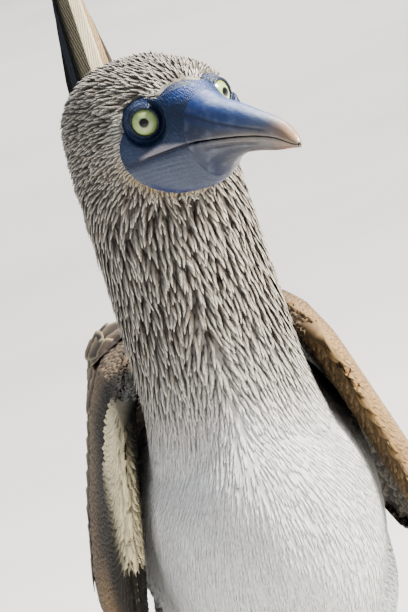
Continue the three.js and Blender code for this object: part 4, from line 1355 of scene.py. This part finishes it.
# %% Shanks, toes, webs and claws
TARSUS_ROWS = [
    [40, 136.6, 66, 5, 6],
    [40, 137, 60, 6.6, 8],
    [40, 135.4, 53, 5.6, 7],
    [40, 131, 42, 4.6, 5.8],
    [40, 126, 28, 4.6, 5.6],
    [40, 122.6, 18, 5.4, 6.4],
    [40, 121, 12, 5.8, 7],
    [40, 120, 6, 6.4, 7.2],
]
FOOT_JOINT = np.array([40.0, 120.0, 5.4])
FOOT_TURN = math.radians(6)
TOES = (
    ("inner", -24, 56, 4.6, 3.0, 9),
    ("middle", 1, 80, 5.0, 3.0, 10),
    ("outer", 23, 84, 4.8, 2.8, 9),
    ("hind", -104, 20, 3.8, 2.6, 7),
)
KNUCKLES = [
    [0, 1.1], [0.3, 1.12], [0.38, 0.94], [0.46, 0.9],
    [0.62, 1.1], [0.7, 0.95], [0.9, 1.08], [1, 0.7],
]


def toe_way(angle):
    """The way a toe points on the floor."""
    a = FOOT_TURN + math.radians(angle)
    return np.array([math.sin(a), -math.cos(a), 0.0])


def toe_rings(way, length, start, end):
    """Rings of a toe, thicker at its joints and finely ringed with scales."""
    k = eased(KNUCKLES, 7)
    share = k[:, 0]
    radius = (start + (end - start) * share) * k[:, 1]
    centres = FOOT_JOINT + way * (share * length)[:, None]
    centres[:, 2] = radius * 0.84
    across = np.array([-way[1], way[0], 0.0])
    scaled = radius * (1 + 0.035 * np.sin(share * length * 2.6) * smooth(0.03, 0.1, share))
    return oval_rings(centres, across, (0, 0, 1), scaled, scaled, radius * 0.8, 28)


def claw_rings(way, length, claw):
    """Rings of a claw that curves down to the floor from the end of its toe."""
    t = np.linspace(0, 1, 16)
    radius = np.interp(t, [0, 0.4, 1], [2.0, 1.6, 0.3])
    centres = FOOT_JOINT + way * (length - 2 + (claw + 1.6) * t)[:, None]
    centres[:, 2] = np.interp(t, [0, 0.4, 1], [2.9, 3.1, 0.6]) + 0.1
    across = np.array([-way[1], way[0], 0.0])
    below = np.minimum(radius, centres[:, 2])
    return oval_rings(centres, across, (0, 0, 1), radius * 0.85, radius, below, 18)


def web_object():
    """The web between the toes, a sheet from the joint out to a sagging edge between the tips."""
    tips = {n: FOOT_JOINT + toe_way(a) * (l - 3) for n, a, l, _, _, _ in TOES}
    order = [("outer", "middle", 0.16), ("middle", "inner", 0.14), ("inner", "hind", 0.34)]
    edge = []
    for a, b, sag in order:
        pa, pb = tips[a], tips[b]
        middle = (pa + pb) / 2 * (1 - sag) + FOOT_JOINT * sag
        t = np.linspace(0, 1, 40)[:-1, None]
        control = 2 * middle - (pa + pb) / 2
        edge.append((1 - t) ** 2 * pa + 2 * t * (1 - t) * control + t**2 * pb)
    edge = np.vstack([*edge, tips["hind"][None]])
    steps = 34
    t = np.linspace(0.03, 1, steps)
    top = FOOT_JOINT + (edge - FOOT_JOINT)[None] * t[:, None, None]
    flat_top = top.reshape(-1, 3)
    rel = flat_top - FOOT_JOINT
    fan = np.arctan2(rel[:, 0], -rel[:, 1])
    reach = np.linalg.norm(rel[:, :2], axis=1)
    crinkle = 0.22 * np.sin(fan * 58) * smooth(10, 40, reach) * (1 - 0.3 * smooth(50, 80, reach))
    fine = 0.1 * np.sin(reach * 2.1 + fan * 9)
    z_top = 2.15 + crinkle + fine - 0.5 * smooth(0.86, 1.0, np.repeat(t, len(edge)))
    high = np.stack([flat_top[:, 0], flat_top[:, 1], z_top], -1)
    low = np.stack([flat_top[:, 0], flat_top[:, 1], np.full(len(z_top), 0.75)], -1)
    m = len(edge)
    size = steps * m
    faces = []
    for a in [i * m + j for i in range(steps - 1) for j in range(m - 1)]:
        quad = [a, a + 1, a + m + 1, a + m]
        faces += [quad, [size + v for v in (a, a + m, a + m + 1, a + 1)]]
    rim = [*range(0, size, m), *range(size - m + 1, size)]
    rim += [*range(size - m - 1, 0, -m), *range(m - 2, 0, -1)]
    faces += [[a, b, size + b, size + a] for a, b in zip(rim, rim[1:] + rim[:1])]
    web = mesh_object("web", np.vstack([high, low]), faces)
    face_outward(web)
    return web


def mirrored(obj):
    """Turns a mesh made for the left side into one for the right side."""
    co = layout_points(obj)
    co[:, 0] *= -1
    move_to(obj, co)
    obj.data.flip_normals()
    return obj


def foot_parts(side, label):
    """The scaly shank, the foot with its web, and the claws of one side."""
    rows = eased(TARSUS_ROWS, 16)
    t = rows[:, 2]
    rings = limb_rings(rows, -0.15, RING_SIDES)
    angle = turns(RING_SIDES)
    scute = np.maximum(np.sin(t[:, None] * 2.2 + 1.4 * np.sin(angle)[None]), -0.2)
    cell = np.sin(angle * 9)[None] * np.sin(t[:, None] * 2.4)
    front = smooth(0.1, 0.8, -np.sin(angle))[None]
    bump = 0.14 * scute * front + 0.12 * cell * (1 - front)
    centre = rows[:, None, :3]
    out = unit(rings - centre)
    shank = loft_object("shank", rings + out * bump[..., None])
    toes, claws = [], []
    for name, turn, reach, thick, thin, claw in TOES:
        way = toe_way(turn)
        toes.append(loft_object("toe_" + name, toe_rings(way, reach, thick, thin)))
        claws.append(loft_object("claw", claw_rings(way, reach, claw)))
    foot = join_all(f"foot_skin_{label}", [*toes, web_object()])
    nails = join_all(f"claws_{label}", claws)
    shank.name = shank.data.name = f"shank_{label}"
    made = [shank, foot, nails]
    return made if side > 0 else [mirrored(part) for part in made]


feet = {side: foot_parts(side, label) for side, label in SIDES}
print("feet:", {o.name: len(o.data.polygons) for parts in feet.values() for o in parts})

# %% [markdown]
# ## Materials
#
# All looks are built from nodes. Feathers take their base colour from the vertices and add the fine
# ribs of their barbs. Bare skin, horn and foot skin get their variation from noise in object space and
# from the masks that were stored on the meshes.

# %% A small kit for node materials


class Look:
    """A material with short ways to add nodes."""

    def __init__(self, name):
        self.material = bpy.data.materials.new(name)
        self.material.use_nodes = True
        self.nodes = self.material.node_tree.nodes
        self.links = self.material.node_tree.links
        self.shader = self.nodes["Principled BSDF"]
        self.output = self.nodes["Material Output"]

    def add(self, kind, **settings):
        """Adds a node and sets what is given."""
        node = self.nodes.new(kind)
        for key, value in settings.items():
            setattr(node, key, value)
        return node

    def feed(self, socket, part):
        """Gives a socket a number, a colour or the output of another node."""
        if isinstance(part, (int, float)):
            socket.default_value = part
        elif isinstance(part, (tuple, list, np.ndarray)):
            socket.default_value = (*[float(v) for v in part], 1.0)
        else:
            self.links.new(part, socket)

    def value(self, name, output="Fac"):
        """A number, or with another output a colour, stored on the vertices."""
        return self.add("ShaderNodeAttribute", attribute_name=name).outputs[output]

    def texture(self, kind, scale, stretch, **settings):
        """A texture node in the space of the object."""
        mapping = self.add("ShaderNodeMapping")
        mapping.inputs["Scale"].default_value = stretch
        self.feed(mapping.inputs["Vector"], self.add("ShaderNodeTexCoord").outputs["Object"])
        node = self.add(kind, **settings)
        node.inputs["Scale"].default_value = scale
        self.feed(node.inputs["Vector"], mapping.outputs["Vector"])
        return node

    def noise(self, scale, detail=4.0, rough=0.55, stretch=(1, 1, 1)):
        """Soft noise between 0 and 1."""
        node = self.texture("ShaderNodeTexNoise", scale, stretch)
        node.inputs["Detail"].default_value = detail
        node.inputs["Roughness"].default_value = rough
        return node.outputs["Fac"]

    def cells(self, scale, stretch=(1, 1, 1), feature="F1"):
        """Distances in a pattern of cells."""
        return self.texture("ShaderNodeTexVoronoi", scale, stretch, feature=feature).outputs["Distance"]

    def ramp(self, value, stops):
        """Colours along a value, from places and screen colours."""
        node = self.add("ShaderNodeValToRGB")
        ramp = node.color_ramp
        while len(ramp.elements) < len(stops):
            ramp.elements.new(0.5)
        for element, (place, colour) in zip(ramp.elements, stops):
            element.position = place
            element.color = (*srgb(*colour), 1.0)
        self.feed(node.inputs["Fac"], value)
        return node.outputs["Color"]

    def maths(self, kind, *parts):
        """One step of arithmetic."""
        node = self.add("ShaderNodeMath", operation=kind)
        for socket, part in zip(node.inputs, parts):
            self.feed(socket, part)
        return node.outputs["Value"]

    def between(self, value, low, high, to_low=0.0, to_high=1.0):
        """A value carried from one span to another and held at its ends."""
        node = self.add("ShaderNodeMapRange")
        ends = {"From Min": low, "From Max": high, "To Min": to_low, "To Max": to_high}
        for name, end in ends.items():
            node.inputs[name].default_value = end
        self.feed(node.inputs["Value"], value)
        return node.outputs["Result"]

    def blend(self, a, b, share, kind="MIX"):
        """Two colours mixed by a share."""
        node = self.add("ShaderNodeMix", data_type="RGBA", blend_type=kind)
        factor = [s for s in node.inputs if s.name == "Factor" and s.type == "VALUE"][0]
        colours = [s for s in node.inputs if s.type == "RGBA"]
        for socket, part in zip((factor, *colours), (share, a, b)):
            self.feed(socket, part)
        return [s for s in node.outputs if s.type == "RGBA"][0]

    def tint(self, base, colour, value, *span):
        """A screen colour laid over the base, by a value carried to a share."""
        return self.blend(base, srgb(*colour), self.between(value, *span))

    def darken(self, base, value):
        """The base colour times a grey value."""
        grey = self.add("ShaderNodeCombineColor")
        for socket in grey.inputs[:3]:
            self.feed(socket, value)
        return self.blend(base, grey.outputs["Color"], 1.0, "MULTIPLY")

    def bump(self, height, strength, distance):
        """Fine relief from a height."""
        node = self.add("ShaderNodeBump")
        node.inputs["Strength"].default_value = strength
        node.inputs["Distance"].default_value = distance
        self.feed(node.inputs["Height"], height)
        self.feed(self.shader.inputs["Normal"], node.outputs["Normal"])

    def set(self, **values):
        """Feeds inputs of the shader, named with underscores for spaces."""
        for key, value in values.items():
            self.feed(self.shader.inputs[key.replace("_", " ")], value)


def dress(obj, look, slot_name):
    """Gives an object its only material. The slot name is not used."""
    obj.data.materials.clear()
    obj.data.materials.append(look.material)


print("material kit ready")

# %% [markdown]
# Feathers are matt and a little translucent, with a soft sheen. The ribs of the barbs slant away from the
# shaft, so their pattern is a sine of the place along the vane less a part of the distance from the
# shaft. The shaft itself is paler, and the vane darkens towards its edges, which is painted shade between
# the feathers.

# %% Feather and skin materials


def feather_look(name, ribs, glow, edge=1.0, depth=0.16, gloss=0.3, rim=0.0, web_tone_and_shade=1.0, sheen=0.12):
    """The look of a kind of feather: ribs, glow through it, painted shade at its edge, and a pale rim or a
    web darkened partly by its own colour and partly by painted shade.
    """
    look = Look(name)
    along, across = look.value("along"), look.value("across")
    side_way = look.maths("ABSOLUTE", across)
    lean = look.maths("MULTIPLY", side_way, -ribs * 0.14)
    wave = look.maths("SINE", look.maths("ADD", look.maths("MULTIPLY", along, ribs), lean))
    rib = look.between(wave, -1, 1, 1 - depth, 1 + depth * 0.4)
    # Painted shade between the feathers: the vane darkens from its shaft out to its edges by the edge value.
    shaft = look.between(side_way, 0.0, 1.0, 1.06, edge)
    patch = look.between(look.noise(46, 3), 0.3, 0.7, 0.9, 1.08)
    fine = look.between(look.noise(900, 2), 0.2, 0.8, 0.9, 1.1)
    total = look.maths("MULTIPLY", look.maths("MULTIPLY", rib, shaft), look.maths("MULTIPLY", patch, fine))
    colour = look.darken(look.value("coat", "Color"), total)
    if rim > 0:
        share = look.maths("MULTIPLY", look.between(side_way, 0.8, 0.98), rim)
        colour = look.blend(colour, EDGE_CREAM, share)
    # One web of each feather is darkened, partly its own darker web and partly painted shade where the
    # camber turns it from the light.
    if web_tone_and_shade < 1:
        colour = look.darken(colour, look.between(across, -0.06, 0.02, web_tone_and_shade, 1.0))
    look.set(Base_Color=colour, Roughness=0.62, Specular_IOR_Level=gloss)
    look.set(Sheen_Weight=sheen, Sheen_Roughness=0.5)
    look.bump(wave, 0.35, 0.0002)
    glow_shader = look.add("ShaderNodeBsdfTranslucent")
    look.feed(glow_shader.inputs["Color"], colour)
    blend = look.add("ShaderNodeMixShader")
    look.feed(blend.inputs["Fac"], glow)
    look.feed(blend.inputs[1], look.shader.outputs["BSDF"])
    look.feed(blend.inputs[2], glow_shader.outputs["BSDF"])
    look.feed(look.output.inputs["Surface"], blend.outputs["Shader"])
    return look


def core_look(name, colour, scale, most, rough, relief):
    """The look of the skin or of a wing form under its feathers."""
    look = Look(name)
    shade = look.noise(scale)
    look.set(Base_Color=look.tint(look.value("coat", "Color"), colour, shade, 0.3, 0.7, 0.0, most))
    look.set(Roughness=rough)
    look.bump(look.noise(*relief[0]), *relief[1:])
    return look


# Head and neck lances darken to a third at their edges, body feathers a little: painted shade between them.
plumage_head = feather_look("plumage_cream", 30.0, 0.04, edge=0.34, sheen=0.06)
plumage_body = feather_look("plumage_white", 26.0, 0.14, edge=0.86)
covert_look = feather_look("covert_brown", 60.0, 0.03, depth=0.14, gloss=0.2, sheen=0.02)
flight_look = feather_look("flight_brown", 260.0, 0.02, depth=0.07, gloss=0.25, rim=0.45, sheen=0.0)
# The tail's one darker web is partly its own colour and partly painted shade.
tail_look = feather_look("tail_feather", 240.0, 0.05, depth=0.18, gloss=0.35, web_tone_and_shade=0.12, sheen=0.0)

under_relief = ((700, 3, 0.6, (1, 1, 0.3)), 0.4, 0.0006)
skin_look = core_look("under_coat", (120, 110, 100), 160, 0.25, 0.85, under_relief)
wing_look = core_look("wing_form_brown", (46, 38, 32), 60, 0.4, 0.8, ((500,), 0.3, 0.0004))
print("feather looks ready")

# %% [markdown]
# The face is slate blue and waxy, with a lilac grey patch above the corner of the mouth and a deep blue
# fold at the lower edge of the throat. The bill is blue along its ridge, duller on the sides and pale
# horn at the tip.

# %% Face, bill and eye materials
face_look = Look("face_skin")
face_tone = face_look.ramp(
    face_look.noise(120, 5), [(0.25, (22, 34, 58)), (0.6, (38, 54, 84)), (0.85, (64, 78, 104))]
# The crease along the mouth is darkened to near black: painted shade in the fold.
)
FACE_TINTS = (
    ("pouch", (82, 90, 108), 0.8),
    ("low_edge", (12, 32, 92), 0.85),
    ("patch", (140, 136, 146), 0.85),
    ("ridge", (28, 58, 118), 0.8),
    ("lid", (20, 30, 50), 0.55),
    ("crease", (12, 16, 26), 1.0),
)
for mask, colour, most in FACE_TINTS:
    face_tone = face_look.tint(face_tone, colour, face_look.value(mask), 0, 1, 0, most)
face_look.set(Base_Color=face_tone)
face_look.set(Roughness=face_look.between(face_look.noise(400), 0.3, 0.7, 0.34, 0.52))
face_look.set(Specular_IOR_Level=0.5, Subsurface_Weight=0.12, Subsurface_Scale=0.002)
face_look.shader.inputs["Subsurface Radius"].default_value = (0.6, 0.5, 0.9)
grain = face_look.maths("ADD", face_look.cells(1500, (1, 0.6, 1)), face_look.noise(300, 4))
face_look.bump(grain, 0.45, 0.0005)

bill_look = Look("bill_horn")
ahead = bill_look.value("forward")
along_bill = bill_look.between(ahead, 80, 162)
ridge_blue = bill_look.ramp(
    along_bill, [(0.0, (28, 58, 118)), (0.45, (40, 74, 132)), (0.78, (92, 104, 128)), (1.0, (160, 128, 96))]
)
side_slate = bill_look.ramp(
    along_bill, [(0.0, (34, 46, 74)), (0.4, (66, 70, 84)), (0.8, (92, 88, 88)), (1.0, (150, 96, 56))]
)
tone = bill_look.blend(ridge_blue, side_slate, bill_look.between(bill_look.value("below_ridge"), 2.0, 11.0))
by_mouth = bill_look.between(bill_look.maths("ABSOLUTE", bill_look.value("height")), 5.0, 0.4)
edge_share = bill_look.maths("MULTIPLY", by_mouth, bill_look.between(ahead, 92, 130, 0.15, 0.85))
tone = bill_look.blend(tone, srgb(132, 122, 112), edge_share)
streaky = bill_look.noise(240, 5, 0.6, (1.0, 0.18, 1.0))
tone = bill_look.tint(tone, (190, 198, 214), streaky, 0.52, 0.8, 0.0, 0.22)
tone = bill_look.tint(tone, (24, 32, 54), bill_look.noise(90, 4), 0.56, 0.8, 0.0, 0.35)
# The grooves are darkened by half: painted shade in them.
tone = bill_look.tint(tone, (24, 30, 46), bill_look.value("groove"), 0, 1, 0, 0.5)
bill_look.set(Base_Color=tone, Specular_IOR_Level=0.5, Coat_Weight=0.12, Coat_Roughness=0.3)
bill_look.set(Roughness=bill_look.between(bill_look.noise(300, 4), 0.3, 0.7, 0.3, 0.46))
bill_look.bump(bill_look.noise(420, 5, 0.6, (1.0, 0.12, 1.0)), 0.3, 0.0004)

eye_look = Look("eye_iris")
radial = eye_look.value("radial")
wedge = eye_look.add("ShaderNodeCombineXYZ")
eye_look.feed(wedge.inputs[0], eye_look.value("streak_a"))
eye_look.feed(wedge.inputs[1], eye_look.value("streak_b"))
ray = eye_look.add("ShaderNodeTexNoise")
ray.inputs["Scale"].default_value = 14.0
eye_look.feed(ray.inputs["Vector"], wedge.outputs["Vector"])
IRIS_STOPS = [
    (0.0, (104, 118, 72)), (0.16, (166, 184, 132)), (0.66, (156, 174, 114)),
    (0.92, (134, 144, 72)), (1.0, (70, 78, 36)),
]
iris = eye_look.ramp(eye_look.between(radial, 2.0, 6.4), IRIS_STOPS)
iris = eye_look.tint(iris, (120, 140, 84), ray.outputs["Fac"], 0.5, 0.75, 0.0, 0.5)
iris = eye_look.tint(iris, (216, 228, 186), eye_look.noise(700, 3, 0.6), 0.55, 0.8, 0.0, 0.4)
iris = eye_look.tint(iris, (8, 8, 10), radial, 1.98, 2.16, 1.0, 0.0)
iris = eye_look.tint(iris, (10, 12, 16), radial, 5.85, 6.3)
eye_look.set(Base_Color=iris, Roughness=0.3, Specular_IOR_Level=0.4)
eye_look.set(Coat_Weight=1.0, Coat_Roughness=0.02)
print("face, bill and eye looks ready")

# %% Feet, claws and floor materials
foot_look = Look("foot_turquoise")
foot_tone = foot_look.ramp(
    foot_look.noise(70, 5), [(0.25, (52, 138, 172)), (0.55, (84, 176, 204)), (0.85, (128, 204, 220))]
)
plates = foot_look.cells(420, (1, 1, 1), "DISTANCE_TO_EDGE")
foot_look.set(Base_Color=foot_look.tint(foot_tone, (40, 104, 136), plates, 0.12, 0.0, 0.0, 0.6))
foot_look.set(Roughness=0.46, Specular_IOR_Level=0.5, Subsurface_Weight=0.1, Subsurface_Scale=0.002)
foot_look.bump(foot_look.between(plates, 0.0, 0.16), 0.5, 0.0004)

claw_look = Look("claw_horn")
claw_tone = claw_look.ramp(claw_look.noise(300, 4), [(0.3, (150, 160, 164)), (0.7, (196, 200, 196))])
claw_look.set(Base_Color=claw_tone, Roughness=0.35)
claw_look.bump(claw_look.noise(900, 3), 0.15, 0.0002)

floor_look = Look("pale_floor")
floor_tone = floor_look.ramp(floor_look.noise(3, 4), [(0.3, (222, 220, 216)), (0.7, (231, 230, 227))])
floor_look.set(Base_Color=floor_tone, Roughness=0.9)
floor_look.bump(floor_look.noise(160, 4), 0.1, 0.0005)
print("foot, claw and floor looks ready")

# %% [markdown]
# ## Which piece stands for which solid
#
# The skin stands for all the feathered nodes it fills, and the other pieces for their own ones. Nothing
# here moves by itself, so everything rides on the one body of the model.

# %% Looks, replaced solids and the body they ride on
dressed = [
    (skin, skin_look, "plumage_white"),
    (face, face_look, "face_skin"),
    (bill_upper, bill_look, "bill"),
    (bill_lower, bill_look, "bill"),
    (tail_core, wing_look, "tail_feathers"),
    (tail_vanes, tail_look, "tail_feathers"),
]
for piece in coat_pieces:
    upper = "head" in piece.name or "neck" in piece.name
    coat = (plumage_head, "plumage_cream") if upper else (plumage_body, "plumage_white")
    dressed.append((piece, *coat))
for side, label in SIDES:
    shank, foot, claw = feet[side]
    wing = wing_feathers[side]
    ball, ring = eye_balls[label], lid_rings[label]
    dressed += [
        (ball, eye_look, "eye"),
        (ring, face_look, "face_skin"),
        (wing_cores[side], wing_look, "wing_coverts"),
        (wing["coverts"], covert_look, "wing_coverts"),
        (wing["secondaries"], flight_look, "flight_feathers"),
        (wing["primaries"], flight_look, "flight_feathers"),
        (shank, foot_look, "foot_skin"),
        (foot, foot_look, "foot_skin"),
        (claw, claw_look, "foot_skin"),
    ]
    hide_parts(f"eye_{label}")
    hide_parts(f"wing_coverts_{label}")
    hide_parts(f"wing_secondaries_{label}")
    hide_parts(f"wing_primaries_{label}")
    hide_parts(f"tarsus_{label}")
    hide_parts(f"foot_{label}")
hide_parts("head", "neck_upper", "neck_lower", "torso", "rump", "thigh_left", "thigh_right")
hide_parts("face_skin", "throat_skin")
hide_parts("bill_upper")
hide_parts("bill_lower")
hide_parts("tail")
pieces = [piece for piece, look, slot_name in dressed]
for piece, look, slot_name in dressed:
    dress(piece, look, slot_name)
    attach(piece, "root")
print(len(pieces), "pieces ride on the body")

# %% [markdown]
# ## Floor, light and camera
#
# A wide pale floor lies under the bird and pale air stands behind it, the same from all sides. A strong
# warm light stands high on the right of the picture, a cooler sky light fills from the front left, and
# the camera is aimed from the place between the eyes.

# %% Floor
FLOOR_RADIUS = 14.0
bpy.ops.object.select_all(action="DESELECT")
bpy.ops.mesh.primitive_circle_add(vertices=96, radius=FLOOR_RADIUS, fill_type="NGON", location=(0, 0, 0))
floor = bpy.context.active_object
floor.name = floor.data.name = "floor_disc"
floor.data.materials.append(floor_look.material)
floor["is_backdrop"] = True
print("floor is", round(floor.dimensions.x, 1), "m across")

# %% Lights


def soft_light(name, place, aim, size, power, colour):
    """A round area light that looks at a place."""
    data = bpy.data.lights.new(name, "AREA")
    data.shape = "DISK"
    data.size = size
    data.energy = power
    data.color = colour
    light = bpy.data.objects.new(name, data)
    light.location = Vector(place)
    light.rotation_euler = (Vector(aim) - Vector(place)).to_track_quat("-Z", "Y").to_euler()
    bpy.context.scene.collection.objects.link(light)
    return light


CHEST = (0.0, -0.15, 0.3)
soft_light("key_sun", (1.2, -0.45, 1.35), CHEST, 0.24, 96, (1.0, 0.95, 0.86))
sky = soft_light("sky_front", (-1.1, -1.4, 0.9), CHEST, 1.6, 7, (0.76, 0.86, 1.0))
sky.visible_glossy = False
soft_light("rim_back", (0.7, 0.9, 1.5), CHEST, 0.6, 10, (1.0, 0.95, 0.88))
soft_light("floor_wash", (0.4, 3.4, 2.6), (0.0, 2.6, 0.0), 3.0, 120, (1.0, 0.98, 0.95))
world = bpy.data.worlds.new("studio_air")
bpy.context.scene.world = world
world.use_nodes = True
world.node_tree.nodes["Background"].inputs["Color"].default_value = (0.88, 0.92, 1.0, 1.0)
world.node_tree.nodes["Background"].inputs["Strength"].default_value = 0.4
print("lights set")

# %% Camera
EYES_MIDDLE = np.array([18.3, -54.0, 378.0])
CAMERA_TURN = math.radians(-3.3)
CAMERA_RISE = math.radians(10.0)
CAMERA_ROLL = math.radians(18.0)
CAMERA_REACH = 2000.0
CAMERA_LENS = 264.7
AIM_RIGHT = 8.4
AIM_DOWN = 88.0
ca, sa = math.cos(CAMERA_TURN), math.sin(CAMERA_TURN)
ce, se = math.cos(CAMERA_RISE), math.sin(CAMERA_RISE)
level_right = np.array([ca, sa, 0.0])
level_up = np.array([-sa * se, ca * se, ce])
backward = np.array([sa * ce, -ca * ce, se])
cr, sr = math.cos(CAMERA_ROLL), math.sin(CAMERA_ROLL)
picture_right = cr * level_right - sr * level_up
picture_up = sr * level_right + cr * level_up
target = EYES_MIDDLE + AIM_RIGHT * picture_right - AIM_DOWN * picture_up
camera_data = bpy.data.cameras.new("camera")
camera_data.lens = CAMERA_LENS
camera_data.sensor_width = 36
camera_data.sensor_fit = "AUTO"
camera = bpy.data.objects.new("camera", camera_data)
bpy.context.scene.collection.objects.link(camera)
place = metres(target + CAMERA_REACH * backward)
turn = np.eye(4)
turn[:3, 0], turn[:3, 1], turn[:3, 2], turn[:3, 3] = picture_right, picture_up, backward, place
camera.matrix_world = Matrix(turn.tolist())
bpy.context.scene.camera = camera
bpy.context.scene.view_settings.view_transform = "AgX"
bpy.context.scene.view_settings.look = "AgX - Medium High Contrast"
print("camera at", place.round(3))

# %% [markdown]
# ## A last look at the sizes
#
# The box of all that stands in the frame was taken when only the solids were loaded, and is taken
# again now that the looks stand in for them. The reach of the looks is printed.

# %% Sizes taken again, and the end
end_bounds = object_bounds()
for label, bounds in (("at the start", solid_bounds), ("at the end", end_bounds)):
    low, high = [tuple(round(float(v), 5) for v in corner) for corner in bounds]
low = np.min([np.array(p.bound_box).min(0) for p in pieces], 0)
high = np.max([np.array(p.bound_box).max(0) for p in pieces], 0)
print("looks reach from", low.round(4), "to", high.round(4))
